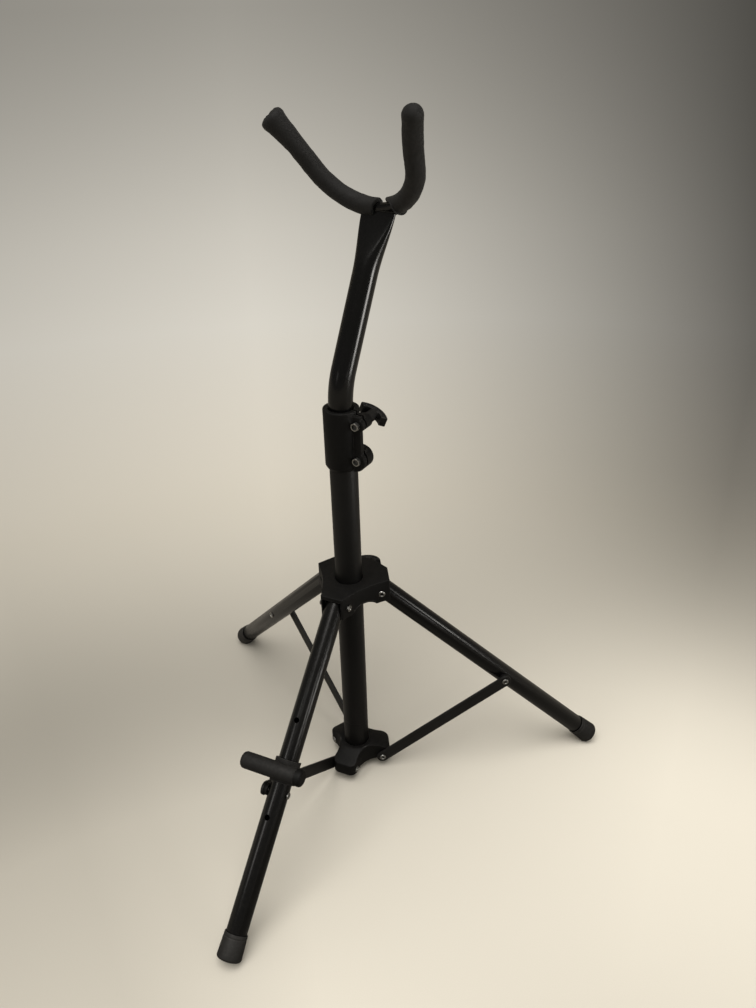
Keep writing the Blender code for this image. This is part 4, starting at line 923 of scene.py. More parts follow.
@dataclass(frozen=True)
class Spider:
    """The sliding collar that carries the legs, with its pivots and lock."""

    rise: float = 0.0154
    depth: float = 0.0270
    lid: float = 0.0045
    reach: float = 0.0447
    tip_half: float = 0.0128
    waist: float = 0.0296
    barrel: float = 0.0195
    bore: float = 0.0153
    arch_radius: float = 0.0220
    arch_drop: float = 0.0150
    boss_reach: float = 0.0430
    boss_half: float = 0.0095
    shoulder_reach: float = 0.0396
    shoulder_half: float = 0.0176
    channel_half: float = 0.0114
    seat_half: float = 0.0168
    lock_drop: float = 0.0115
    lock_screw: float = 0.0040
    lock_insert: float = 0.0058
    lock_neck: float = 0.0080
    lock_turn: float = -10.0
    edge: float = 0.0008

    def flank(self) -> tuple[Vector, float]:
        """The hollow flank between two arms, as the centre and radius of its arc."""
        corner = Vector((self.reach, self.tip_half))
        across = Matrix.Rotation(math.radians(120.0), 2) @ Vector((self.reach, -self.tip_half))
        outward = Vector((math.cos(math.radians(60.0)), math.sin(math.radians(60.0))))
        chord = (across - corner).length / 2
        hollow = outward.dot((corner + across) / 2) - self.waist
        radius = (chord ** 2 + hollow ** 2) / (2 * hollow)
        return outward * (self.waist + radius), radius

    def outline(self) -> Outline:
        """Three square-ended arms, hollow flanks in front and a broad boss behind."""
        centre, radius = self.flank()
        corner = Vector((self.reach, self.tip_half)) - centre
        end = Matrix.Rotation(math.radians(120.0), 2) @ Vector((self.reach, -self.tip_half)) - centre
        first, last = math.atan2(corner.y, corner.x), math.atan2(end.y, end.x)
        if last > first:
            last -= 2 * math.pi
        flank = arc((centre.x, centre.y), radius, first, last, 25)[1:-1]
        tip = [(self.reach, -self.tip_half), (self.reach, self.tip_half)]
        points: Outline = []
        for side in Side:
            own = tip if side is Side.RIGHT else tip + flank
            points += [turned_point(x, y, side.value) for x, y in own]
            if side is Side.RIGHT:
                points += [(self.shoulder_half, self.shoulder_reach), (self.boss_half, self.boss_reach),
                           (-self.boss_half, self.boss_reach), (-self.shoulder_half, self.shoulder_reach)]
        return filleted(points, 0.0016, 5, 20.0)

    def rib(self, top: float, turn: float) -> Shape:
        """The thin rib over an arch, along the flank's hollow face.

        Args:
            top: the height of the collar's top.
            turn: the way the flank faces, in degrees.

        Returns:
            The rib.
        """
        centre, radius = self.flank()
        far = centre.length
        level = top - self.depth - self.arch_drop
        bow = self.arch_radius + 0.0016
        rings = []
        count = 33
        span = math.radians(40.0)
        for i in range(count):
            angle = -span + 2 * span * i / (count - 1)
            side = bow * math.sin(angle)
            out = far - math.sqrt(radius ** 2 - side ** 2)
            thin = 0.00055 * max(0.15, math.cos(angle / span * UPRIGHT) ** 0.4)
            spot = Matrix.Translation((out, side, level + bow * math.cos(angle))) @ Matrix.Rotation(-angle, 4, "X")
            rings.append([spot @ Vector((thin * math.cos(t), 0.0, thin * math.sin(t)))
                          for t in (2 * math.pi * k / 10 for k in range(10))])
        return Shape.skinned(rings).placed(spin_z(turn))

    def build(self, at: Layout) -> None:
        """Makes the collar, its ribs, the pivots and the lock knob."""
        top = at.pivot_height + self.rise
        low = top - self.depth
        body = Shape.slab(self.outline(), low, top)
        body.rounded(self.edge, 3, 60.0, lambda p: p.z > top - 0.0001)
        body.rounded(self.edge * 0.6, 2, 60.0, lambda p: p.z < low + 0.0001)
        mouth = [(0.0, top + OVERCUT), (self.bore + 0.0008 + OVERCUT, top + OVERCUT), (self.bore, top - 0.0008),
                 (self.bore, low - OVERCUT), (0.0, low - OVERCUT)]
        body.put(Join.CUT, Shape.turned(mouth, ROUND_STEPS))
        seat, shank = RIVETS.head + 2 * GAP, RIVETS.shank + GAP
        pin = [(0.0, 0.022), (seat, 0.022), (seat, self.seat_half), (shank, self.seat_half),
               (shank, -self.seat_half), (seat, -self.seat_half), (seat, -0.022), (0.0, -0.022)]
        for side in Side:
            way = spin_z(side.value)
            channel = Shape.block((self.barrel + GAP, -self.channel_half, low - OVERCUT),
                                  (0.07, self.channel_half, top - self.lid))
            body.put(Join.CUT, channel.placed(way))
            spot = way @ shift(x=at.pivot_reach, z=at.pivot_height) @ ACROSS
            body.put(Join.CUT, Shape.turned(pin, 32).placed(spot))
        for turn in (-150.0, -30.0):
            arch = Shape.turned(rod(self.arch_radius, self.barrel - 0.0005, 0.06), ROUND_STEPS)
            body.put(Join.CUT, arch.placed(spin_z(turn) @ shift(z=low - self.arch_drop) @ ALONG_X))
        lock = shift(z=top - self.lock_drop) @ AWAY
        body.put(Join.CUT, Shape.turned(rod(self.lock_insert + GAP, self.boss_reach - 0.0123, 0.07), 32).placed(lock))
        body.placed(at.axis()).piece("spider_moulding", PLASTIC, "spider", "leg_spider")
        for word, turn in (("left", -150.0), ("right", -30.0)):
            self.rib(top, turn).placed(at.axis()).piece("spider_rib_" + word, PLASTIC, "spider")
        for side in Side:
            half = self.seat_half + GAP
            sunk = 0.0030 if side is Side.LEFT else 0.0
            RIVETS.shape(sunk - half, half, (side is not Side.LEFT, True)).placed(at.leg(side) @ ACROSS).piece(
                "leg_pivot_" + side.word, ZINC, "spider", "pivot_rivet_" + side.word)
        place = at.axis() @ lock
        neck = self.boss_reach + 2 * GAP
        WingKnob().shape(neck, neck + self.lock_neck, self.lock_turn).placed(place).piece(
            "lock_wing", KNOB_PLASTIC, "lock_handle", "lock_knob")
        Shape.turned(pipe(self.lock_insert, self.lock_screw + GAP, self.boss_reach - 0.012, self.boss_reach + GAP),
                     SMALL_STEPS, ring=True).placed(place).piece("lock_bushing", BRASS, "spider", "lock_insert")
        Shape.turned(rod(self.lock_screw, 0.0153, neck + self.lock_neck * 0.6, 0.0004)).placed(place).piece(
            "lock_spindle", ZINC, "lock_handle", "lock_screw")


@dataclass(frozen=True)
class Leg:
    """One leg: its tube, foot and stay."""

    side: Side
    radius: float = 0.0110
    wall: float = 0.0012
    length: float = 0.3683
    head: float = 0.0080
    mouth: float = 0.0122
    foot: float = 0.0131
    cap_length: float = 0.0262
    cap_end: float = 0.0040
    cap_round: float = 0.0030
    stay_width: float = 0.0147
    stay_thickness: float = 0.0030
    spacer_thickness: float = 0.0034
    spacer_radius: float = 0.0064
    hole_radius: float = 0.0031
    hole_pitch: float = 0.0508
    hole_back: float = 0.0253

    @property
    def stay_face(self) -> float:
        """How far the stay's near face is from the leg's middle."""
        return self.radius + 3 * GAP + self.spacer_thickness

    def tube(self, at: Layout) -> None:
        """The tube, cut to clear the collar's lid, with its holes."""
        place = at.leg(self.side)
        profile = pipe(self.radius, self.radius - self.wall, -self.head, self.length, 0.0003)
        tube = Shape.turned(profile, 80, ring=True).placed(place @ ALONG_X)
        lid = at.pivot_height + 0.0154 - 0.0045 - 2 * GAP
        tube.put(Join.CUT, Shape.block((-0.06, -0.03, lid), (0.08, 0.03, lid + 0.05)).placed(at.arm(self.side)))
        for distance in (0.0, at.stay_distance):
            hole = Shape.turned(rod(RIVETS.shank + GAP, -0.03, 0.03), 24)
            tube.put(Join.CUT, hole.placed(place @ shift(x=distance) @ ACROSS))
        if self.side is Side.FRONT:
            for number in (-1, 0, 1):
                hole = Shape.turned(rod(self.hole_radius, 0.0, 0.03), 32)
                distance = at.stay_distance - self.hole_back + number * self.hole_pitch
                tube.put(Join.CUT, hole.placed(place @ shift(x=distance)))
        word = self.side.word
        tube.piece("leg_painted_" + word, LEG_COAT, word + "_leg", "leg_tube_" + word)

    def cap(self, at: Layout) -> None:
        """The rubber foot, with a bead at its mouth and a flat on the floor."""
        end = self.length + self.cap_end
        mouth = end - self.cap_length
        bore = self.radius + GAP
        slope = (self.foot - self.mouth) / (self.cap_length - self.cap_round)

        def skin(distance: float, sink: float = 0.0) -> Point:
            return (self.mouth + slope * distance - sink, mouth + distance)

        profile = ([(0.0, self.length + GAP), (bore, self.length + GAP), (bore, mouth + 0.0003),
                    (bore + 0.0003, mouth), (self.mouth - 0.0005, mouth), skin(0.0002, 0.0002), skin(0.0006)]
                   + [skin(0.0032), skin(0.0036, 0.0001), skin(0.0039, 0.00035), skin(0.0045, 0.00035),
                      skin(0.0048, 0.0001), skin(0.0052)]
                   + arc((self.foot - self.cap_round, end - self.cap_round), self.cap_round, 0.0, UPRIGHT, 8)
                   + [(0.0, end)])
        cap = Shape.turned(profile, ROUND_STEPS).placed(at.leg(self.side) @ ALONG_X)
        cap.put(Join.CUT, Shape.block((0.2, -0.05, -0.05), (0.4, 0.05, 0.0)).placed(at.arm(self.side)))
        word = self.side.word
        cap.piece("foot_rubber_" + word, CAP_RUBBER, word + "_leg", "foot_cap_" + word)

    def stay(self, at: Layout) -> None:
        """The flat bar, its spacer, its outer rivet and the head of its inner one."""
        place = at.stay(self.side)
        half = self.stay_width / 2
        outline = (arc((at.stay_length, 0.0), half, -UPRIGHT, UPRIGHT, 25)
                   + arc((0.0, 0.0), half, UPRIGHT, 3 * UPRIGHT, 25))
        near, far = self.stay_face, self.stay_face + self.stay_thickness
        bar = Shape.slab(outline, near, far).rounded(0.0006, 3, 60.0)
        for distance in (0.0, at.stay_length):
            bar.put(Join.CUT, Shape.turned(rod(RIVETS.shank + GAP, -0.03, 0.03), 24).placed(shift(x=distance)))
        word = self.side.word
        bar.placed(place @ ACROSS).piece("stay_painted_" + word, BAR_COAT, word + "_stay", "stay_" + word)
        RIVETS.shape(near, far + GAP, (False, True)).placed(place @ ACROSS).piece(
            "stay_inner_head_" + word, ZINC, word + "_stay", "hub_rivet_head_" + word)
        outer = at.leg(self.side) @ shift(x=at.stay_distance) @ ACROSS
        low = self.radius + 2 * GAP
        ring = pipe(self.spacer_radius, RIVETS.shank + GAP, low, low + self.spacer_thickness)
        Shape.turned(ring, SMALL_STEPS, ring=True).placed(outer).piece(
            "spacer_" + word, PLASTIC, word + "_stay", "stay_spacer_" + word)
        RIVETS.shape(-self.radius - GAP, far + GAP).placed(outer).piece(
            "stay_pin_" + word, ZINC, word + "_leg", "stay_rivet_" + word)

    def build(self, at: Layout) -> None:
        """Makes the leg's pieces."""
        self.tube(at)
        self.cap(at)
        self.stay(at)


@dataclass(frozen=True)
class Clamp:
    """The split collar at the column's top, with its screw, bolt, nuts and knob."""

    bottom: float = 0.4228
    top: float = 0.4885
    radius: float = 0.01875
    chamfer: float = 0.0035
    turn: float = -6.0
    slot: float = 0.0030
    ear_reach: float = 0.0262
    ear_half: float = 0.0065
    screw_reach: float = 0.0218
    lower: float = 0.4358
    upper: float = 0.4750
    lobe_depth: float = 0.0125
    notch_reach: float = 0.0212
    notch_low: float = 0.4455
    notch_high: float = 0.4685
    screw: float = 0.0028
    cap_head: float = 0.0042
    cap_rise: float = 0.0035
    nut_radius: float = 0.0046
    nut_height: float = 0.0040
    sink: float = 0.0014
    knob_neck: float = 0.0140
    knob_turn: float = 23.5
    step: float = 0.4701

    def nut(self, low: float, high: float) -> Shape:
        """A hexagon nut along Z with turned corners."""
        drum = [(0.0, high), (self.nut_radius * 0.88, high), (self.nut_radius, high - 0.0006),
                (self.nut_radius, low + 0.0006), (self.nut_radius * 0.88, low), (0.0, low)]
        nut = Shape.prism(6, self.nut_radius, low, high).put(Join.KEEP, Shape.turned(drum, SMALL_STEPS))
        return nut.put(Join.CUT, Shape.turned(rod(self.screw + GAP, low - OVERCUT, high + OVERCUT), 24))

    def collar(self) -> Shape:
        """The collar itself, about the column's axis."""
        top, low, r = self.top, self.bottom, self.radius
        shell = ([(0.0, top)] + arc((r - 0.0008, top - 0.0008), 0.0008, UPRIGHT, 0.0, 4)
                 + [(r, low + self.chamfer + 0.0004), (r - 0.0001, low + self.chamfer), (r - 0.0018, low + 0.0003),
                    (r - 0.0021, low), (0.0, low)])
        body = Shape.turned(shell, ROUND_STEPS)
        ears = Shape.block((0.010, -self.ear_half, low + self.chamfer + 0.003), (self.ear_reach, self.ear_half, top - 0.004))
        ears.rounded(0.0010, 3, 60.0, lambda p: p.x > 0.012)
        body.put(Join.ADD, ears)
        for reach, height, radius in ((0.0178, 0.4346, 0.0120), (self.screw_reach, self.upper, 0.0078)):
            lobe = Shape.turned(rod(radius, -self.lobe_depth, self.ear_half, 0.0009), 64)
            body.put(Join.ADD, lobe.placed(shift(x=reach, z=height) @ ACROSS))
        notch = Shape.block((self.notch_reach, 0.0, self.notch_low), (0.06, 0.03, self.notch_high))
        body.put(Join.CUT, notch)
        wide, narrow = 0.0153, 0.0133
        bore = [(0.0, top + OVERCUT), (narrow + 0.0006 + OVERCUT, top + OVERCUT), (narrow, top - 0.0006),
                (narrow, self.step), (wide, self.step), (wide, low - OVERCUT), (0.0, low - OVERCUT)]
        body.put(Join.CUT, Shape.turned(bore, ROUND_STEPS).placed(spin_z(-self.turn)))
        body.put(Join.CUT, Shape.block((0.004, -self.slot / 2, low - OVERCUT), (0.06, self.slot / 2, top + OVERCUT)))
        for height in (self.lower, self.upper):
            hole = Shape.turned(rod(self.screw + GAP, -0.03, 0.03), 24)
            body.put(Join.CUT, hole.placed(shift(x=self.screw_reach, z=height) @ ACROSS))
        return body

    def build(self, at: Layout) -> None:
        """Makes the clamp's pieces."""
        place = at.axis() @ spin_z(self.turn)
        self.collar().placed(place).piece("clamp_moulding", PLASTIC, "stand", "clamp_collar")
        face = self.lobe_depth + GAP
        tail = self.ear_half + GAP + self.nut_height
        lower = place @ shift(x=self.screw_reach, z=self.lower) @ AWAY
        head = face + self.cap_rise
        screw = ([(0.0, head)] + arc((self.cap_head - 0.0005, head - 0.0005), 0.0005, UPRIGHT, 0.0, 4)
                 + [(self.cap_head, face), (self.screw, face), (self.screw, self.sink - tail + 0.0003),
                    (self.screw - 0.0003, self.sink - tail), (0.0, self.sink - tail)])
        cap_screw = Shape.turned(screw).put(Join.CUT, Shape.prism(6, 0.0023, face + 0.0008, head + OVERCUT))
        cap_screw.placed(lower).piece("clamp_cap_screw", SCREW_STEEL, "stand", "clamp_lower_screw")
        self.nut(-tail, -tail + self.nut_height).placed(lower).piece(
            "clamp_nut_lower", ZINC, "stand", "clamp_lower_nut")
        upper = place @ shift(x=self.screw_reach, z=self.upper) @ AWAY
        self.nut(-tail, -tail + self.nut_height).placed(upper).piece(
            "clamp_nut_upper", ZINC, "stand", "clamp_upper_nut")
        neck = face + GAP
        Shape.turned(rod(self.screw, self.sink - tail, neck + self.knob_neck * 0.7, 0.0004)).placed(upper).piece(
            "clamp_spindle", SCREW_STEEL, "clamp_handle", "clamp_bolt")
        WingKnob().shape(neck, neck + self.knob_neck, self.knob_turn).placed(upper).piece(
            "clamp_wing", KNOB_PLASTIC, "clamp_handle", "clamp_knob")


@dataclass(frozen=True)
class Sleeve:
    """One foam sleeve of the yoke, and how its two ends look."""

    word: str
    sign: float
    start: float
    overhang: float
    cut: float
    hook: float
    flare: float
    torn: float
    tip: tuple[Point, ...]


LEFT_SLEEVE = Sleeve("left", -1.0, 0.0025, 0.0050, 3.0, 0.0, 0.0030, 0.0007,
                     ((8.0, 0.0), (5.0, 0.0002), (3.6, 0.0006), (2.4, 0.0013), (1.4, 0.0023), (0.7, 0.0035), (0.2, 0.0050),
                      (0.0, 0.0064), (0.1, 0.0074), (0.8, 0.0080)))
RIGHT_SLEEVE = Sleeve("right", 1.0, 0.0100, 0.0070, 20.0, 0.0016, 0.0003, 0.0003,
                      ((11.6, 0.0), (9.5, 0.0001), (7.7, 0.0006), (5.9, 0.0012), (4.2, 0.0022), (2.8, 0.0034),
                       (1.6, 0.0047), (0.8, 0.0060), (0.3, 0.0072), (0.0, 0.0086)))


@dataclass(frozen=True)
class Upper:
    """The bent upper tube, pressed flat under the yoke, with the yoke's rod, weld and foam."""

    radius: float = 0.0127
    wall: float = 0.0012
    foot: float = 0.2620
    bend_height: float = 0.5096
    bend_radius: float = 0.0800
    lean: float = 26.5
    turn: float = -8.8
    reach: float = 0.1745
    pressed_length: float = 0.0620
    pressed_width: float = 0.0390
    pressed_thickness: float = 0.0045
    rod_radius: float = 0.0050
    foam_radius: float = 0.0094
    yoke_radius: float = 0.0645
    sweep: float = 73.5
    arm_left: float = 0.0575
    arm_right: float = 0.0545
    flare: float = 10.0
    pitch: float = 62.0
    tilt: float = 8.2
    twist: float = -6.5
    sink: float = 0.0020
    sideways: float = 0.0012

    def tube_frames(self) -> list[tuple[Matrix, float]]:
        """Frames up the tube, and how far each has gone towards the pressed end, from 0 to 1."""
        lean = math.radians(self.lean)
        tangent = self.bend_radius * math.tan(lean / 2)
        start = self.bend_height - tangent
        frames = [(shift(z=self.foot + (start - self.foot) * i / 4), 0.0) for i in range(4)]
        bend = 28
        for i in range(bend + 1):
            angle = lean * i / bend
            spot = shift(y=self.bend_radius * (1 - math.cos(angle)), z=start + self.bend_radius * math.sin(angle))
            frames.append((spot @ Matrix.Rotation(-angle, 4, "X"), 0.0))
        end = frames[-1][0]
        rest = self.reach - tangent
        press = 40
        for i in range(press + 1):
            share = i / press
            frames.append((end @ shift(z=rest - self.pressed_length * (1 - share)), share))
        return frames

    def section(self, place: Matrix, share: float, wall: float, count: int = 72) -> list[Vector]:
        """The tube's section: round, or two flats between round flanks where it is pressed.

        Args:
            place: the section's frame.
            share: how far it is pressed, from 0 to 1.
            wall: how far inside the skin it lies.
            count: its points.

        Returns:
            The section's points.
        """
        ease = share * share * (3 - 2 * share)
        half_width = self.radius + (self.pressed_width / 2 - self.radius) * ease
        thickness = self.radius + (self.pressed_thickness / 2 - self.radius) * ease
        flat = half_width - thickness
        ring = []
        for k in range(count):
            angle = 2 * math.pi * k / count
            slide = max(-1.0, min(1.0, math.cos(angle) / math.cos(math.radians(66.0))))
            ring.append(place @ Vector((flat * slide + (thickness - wall) * math.cos(angle),
                                        (thickness - wall) * math.sin(angle), 0.0)))
        return ring

    def yoke_place(self, at: Layout) -> Matrix:
        """The yoke's own frame: X across the stand, Y up its arms."""
        top = self.tube_frames()[-1][0]
        spot = (top @ shift(x=self.sideways, z=self.rod_radius - self.sink)).to_translation()
        turn = (Matrix.Rotation(math.radians(-self.tilt), 4, "Y")
                @ Matrix.Rotation(math.radians(180.0 - self.pitch), 4, "X")
                @ Matrix.Rotation(math.radians(self.twist), 4, "Y"))
        return at.axis() @ spin_z(self.turn) @ Matrix.Translation(spot) @ turn

    def arm_points(self, sign: float, start: float, length: float) -> list[Vector]:
        """Points along one arm of the yoke in its own plane, from the middle outwards.

        Args:
            sign: -1 for the left arm, +1 for the right.
            start: the distance of the first point from the middle.
            length: the length beyond the round part.

        Returns:
            The points.
        """
        sweep = math.radians(self.sweep)
        first = start / self.yoke_radius
        points = []
        for i in range(9):
            angle = first + (sweep - first) * i / 8
            points.append(Vector((self.yoke_radius * math.sin(angle), self.yoke_radius * (1 - math.cos(angle)), 0.0)))
        steps = 6
        for i in range(steps):
            angle = sweep - math.radians(self.flare) * (i + 1) / steps
            points.append(points[-1] + length / steps * Vector((math.cos(angle), math.sin(angle), 0.0)))
        return [Vector((sign * point.x, point.y, 0.0)) for point in points]

    @staticmethod
    def smoothed(points: Sequence[Vector], per_span: int) -> list[Matrix]:
        """Frames on a smooth curve through points, Z along it and Y square to its plane."""
        whole = [points[0] * 2 - points[1], *points, points[-1] * 2 - points[-2]]
        curve = []
        for a, b, c, d in zip(whole, whole[1:], whole[2:], whole[3:]):
            for k in range(per_span):
                t = k / per_span
                curve.append(0.5 * (2 * b + (c - a) * t + (2 * a - 5 * b + 4 * c - d) * t * t
                                    + (3 * b - a - 3 * c + d) * t ** 3))
        curve.append(points[-1])
        frames = []
        side = Vector((0.0, 0.0, 1.0))
        for i, point in enumerate(curve):
            along = (curve[min(i + 1, len(curve) - 1)] - curve[max(i - 1, 0)]).normalized()
            turn = Matrix((side.cross(along).normalized(), side, along)).transposed().to_4x4()
            frames.append(Matrix.Translation(point) @ turn)
        return frames

    @staticmethod
    def ring(place: Matrix, radius: float, count: int) -> list[Vector]:
        """A round ring in a frame."""
        return [place @ Vector((radius * math.cos(2 * math.pi * k / count), radius * math.sin(2 * math.pi * k / count), 0.0))
                for k in range(count)]

    def rod_shape(self) -> Shape:
        """The whole yoke rod, with rounded tips, in the yoke's frame."""
        left = self.arm_points(-1.0, 0.0, self.arm_left)
        right = self.arm_points(1.0, 0.0, self.arm_right)
        frames = self.smoothed(left[::-1] + right[1:], 6)
        rings = [self.ring(frame, self.rod_radius, 32) for frame in frames]
        tips = []
        for frame, way in ((frames[0], -1.0), (frames[-1], 1.0)):
            cap = [self.ring(frame @ shift(z=way * (-0.0015 + 0.0015 * math.sin(a))),
                             self.rod_radius - 0.0015 + 0.0015 * math.cos(a), 32) for a in (0.4, 0.8, 1.2, UPRIGHT)]
            tips.append(cap)
        return Shape.skinned(tips[0][::-1] + rings[1:-1] + tips[1])

    def weld(self, at: Layout) -> Shape:
        """The bead that joins the pressed end to the rod, round the end's rim."""
        top, share = self.tube_frames()[-1]
        path = self.section(top @ shift(z=-0.0006), share, -0.0002, 96)
        rings = []
        count = len(path)
        middle = top.to_translation()
        for i, point in enumerate(path):
            along = (path[(i + 1) % count] - path[i - 1]).normalized()
            out = (point - middle).normalized()
            up = along.cross(out).normalized()
            out = up.cross(along).normalized()
            wave = 0.00095 + 0.00022 * math.sin(i * 1.7) + 0.00012 * math.sin(i * 0.61)
            rings.append([point + out * wave * math.cos(a) + up * wave * math.sin(a)
                          for a in (2 * math.pi * k / 10 for k in range(10))])
        return Shape.skinned(rings, closed=True).placed(at.axis() @ spin_z(self.turn))

    def sleeve_shape(self, sleeve: "Sleeve", arm: float) -> Shape:
        """One foam sleeve in the yoke's frame, lumpy, with torn or rounded ends.

        Args:
            sleeve: which sleeve, and how its ends look.
            arm: the rod's length beyond the round part.

        Returns:
            The sleeve.
        """
        frames = self.smoothed(self.arm_points(sleeve.sign, sleeve.start, arm + sleeve.overhang), 12)
        count = 64
        outer, bore = self.foam_radius, self.rod_radius + 0.0003
        last = float(len(frames) - 1)
        reach = 34.0

        def under(turn: float) -> float:
            share = min(1.0, max(0.0, 0.62 + 0.75 * math.cos(turn - UPRIGHT - 0.56 * sleeve.sign)))
            return share * share * (3.0 - 2.0 * share)

        def loop(step: float, radius: float, tip: bool = False) -> list[Vector]:
            points = []
            for k in range(count):
                turn = 2 * math.pi * k / count
                spot = step
                if not tip and step < reach:
                    spot += sleeve.cut * under(turn) * (1.0 - step / reach)
                first = min(int(max(spot, 0.0)), len(frames) - 2)
                frame = frames[first].lerp(frames[first + 1], min(spot - first, 1.0))
                own = radius + (sleeve.hook * under(turn) ** 6 if step < 2.5 and radius > bore + 0.001 else 0.0)
                points.append(frame @ Vector((own * math.cos(turn), own * math.sin(turn), 0.0)))
            return points

        rings = [loop(3.0, bore), loop(0.0, bore + 0.0002), loop(0.0, bore + 0.0012), loop(0.0, outer - 0.0009),
                 loop(1.0, outer - 0.0002)]
        rings += [loop(float(i), outer + sleeve.flare * max(0.0, 1.0 - (last - i) / 40.0))
                  for i in range(2, len(frames) - 13)]
        rings += [loop(last - back, outer + sleeve.flare - inset, True) for back, inset in sleeve.tip]
        shape = Shape.skinned(rings)
        foot, end = frames[0].inverted(), frames[-1].inverted()
        for vert in shape.bm.verts:
            lump = noise.fractal(vert.co * 95.0 + Vector((sleeve.sign * 7.0, 3.0, 1.0)), 1.0, 2.0, 3)
            fine = noise.noise(vert.co * 520.0)
            vert.co += vert.normal * (0.00034 * lump + 0.00010 * fine)
            for place, depth, rim in ((foot, 0.0010, bore + 0.001), (end, sleeve.torn, 0.0)):
                local = place @ vert.co
                if local.xy.length > rim and abs(local.z) < 0.010:
                    nearness = 1.0 - min(1.0, abs(local.z) / 0.007)
                    ragged = noise.noise(Vector((local.x, local.y, sleeve.sign)) * 330.0)
                    vert.co += place.inverted().to_3x3() @ Vector((0.0, 0.0, depth * ragged * nearness))
        return shape

    def build(self, at: Layout) -> None:
        """Makes the upper part."""
        frames = self.tube_frames()
        skin = [self.section(place, share, 0.0) for place, share in frames]
        lining = [self.section(place, share, self.wall) for place, share in reversed(frames)]
        tube = Shape.skinned(skin + lining, closed=True)
        upright = at.axis() @ spin_z(self.turn)
        tube.placed(upright).piece("upper_painted", GLOSS_COAT, "upper", "upper_tube")
        self.weld(at).piece("yoke_weld", GLOSS_COAT, "upper")
        yoke = self.yoke_place(at)
        self.rod_shape().placed(yoke).piece("yoke_painted", GLOSS_COAT, "upper", "yoke_rod")
        for sleeve, arm in ((LEFT_SLEEVE, self.arm_left), (RIGHT_SLEEVE, self.arm_right)):
            foam = self.sleeve_shape(sleeve, arm).placed(yoke).piece(
                "foam_sleeve_" + sleeve.word, SLEEVE_FOAM, "upper", "yoke_foam_" + sleeve.word, smooth=60.0)


@dataclass(frozen=True)
class BowRest:
    """The padded bar on the front leg, with its saddle and end cap."""

    back: float = 0.0229
    leg_radius: float = 0.0110
    radius: float = 0.0090
    left: float = 0.0410
    right: float = 0.0305
    round_end: float = 0.0040
    standoff: float = 0.0215
    saddle_length: float = 0.0240
    saddle_wall: float = 0.0026
    saddle_wrap: float = 0.45
    cap: float = 0.0083
    cap_round: float = 0.0030

    def build(self, at: Layout) -> None:
        """Makes the rest's body and end cap."""
        place = at.leg(Side.FRONT) @ shift(x=at.stay_distance - self.back)
        inner = self.leg_radius + GAP
        half = self.saddle_length / 2
        skirt = inner + self.saddle_wall
        outline = arc((0.0, 0.0), skirt, -self.saddle_wrap, math.pi + self.saddle_wrap, 65)
        body = Shape.slab(outline, -half, half).rounded(0.0007, 3, 60.0, lambda p: p.y > -skirt * 0.40)
        body.placed(Matrix.Rotation(UPRIGHT, 4, "Z") @ ACROSS)
        right_end = -(self.right - self.cap)
        bar = ([(0.0, self.left)]
               + arc((self.radius - self.round_end, self.left - self.round_end), self.round_end, UPRIGHT, 0.0, 9)
               + [(self.radius, right_end + 0.0005), (self.radius - 0.0003, right_end), (0.0, right_end)])
        across = shift(z=self.standoff) @ ACROSS
        body.put(Join.ADD, Shape.turned(bar, 72).placed(across))
        tunnel = [(inner, -skirt)] + arc((0.0, 0.0), inner, 0.0, math.pi, 49) + [(-inner, -skirt)]
        body.put(Join.CUT, Shape.slab(tunnel, -0.05, 0.05).placed(Matrix.Rotation(UPRIGHT, 4, "Z") @ ACROSS))
        body.placed(place).piece("rest_body", REST_RUBBER, "bow_rest", "peg_body")
        low = right_end - self.cap
        rim = arc((self.radius - self.cap_round, low + self.cap_round), self.cap_round, 0.0, -UPRIGHT, 9)
        cap = [(0.0, right_end - GAP), (self.radius - 0.0003, right_end - GAP), (self.radius, right_end - 2 * GAP)]
        Shape.turned(cap + rim + [(0.0, low)], 72).placed(place @ across).piece(
            "rest_cap", PLASTIC, "bow_rest", "peg_end_cap")


# The scene round the stand

class LampKind(Enum):
    """The lamps that the studio uses."""

    SUN = "SUN"
    PANEL = "AREA"


@dataclass(frozen=True)
class Lamp:
    """One lamp: a soft sun, whose width is an angle in degrees, or a panel with a width and height in metres."""

    name: str
    kind: LampKind
    spot: tuple[float, float, float]
    energy: float
    width: float
    height: float = 0.0
    aim: tuple[float, float, float] = (0.0, 0.07, 0.35)
    spread: float = 180.0

    def build(self) -> None:
        """Hangs the lamp."""
        data = bpy.data.lights.new(self.name, self.kind.value)
        data.energy = self.energy
        data.color = (1.0, 0.97, 0.92)
        if self.kind is LampKind.SUN:
            data.angle = math.radians(self.width)
        else:
            data.shape = "RECTANGLE"
            data.size, data.size_y = self.width, self.height
            data.spread = math.radians(self.spread)
        item = bpy.data.objects.new(self.name, data)
        way = Vector(self.aim) - Vector(self.spot)
        item.matrix_world = Matrix.Translation(self.spot) @ way.to_track_quat("-Z", "Y").to_matrix().to_4x4()
        bpy.context.scene.collection.objects.link(item)


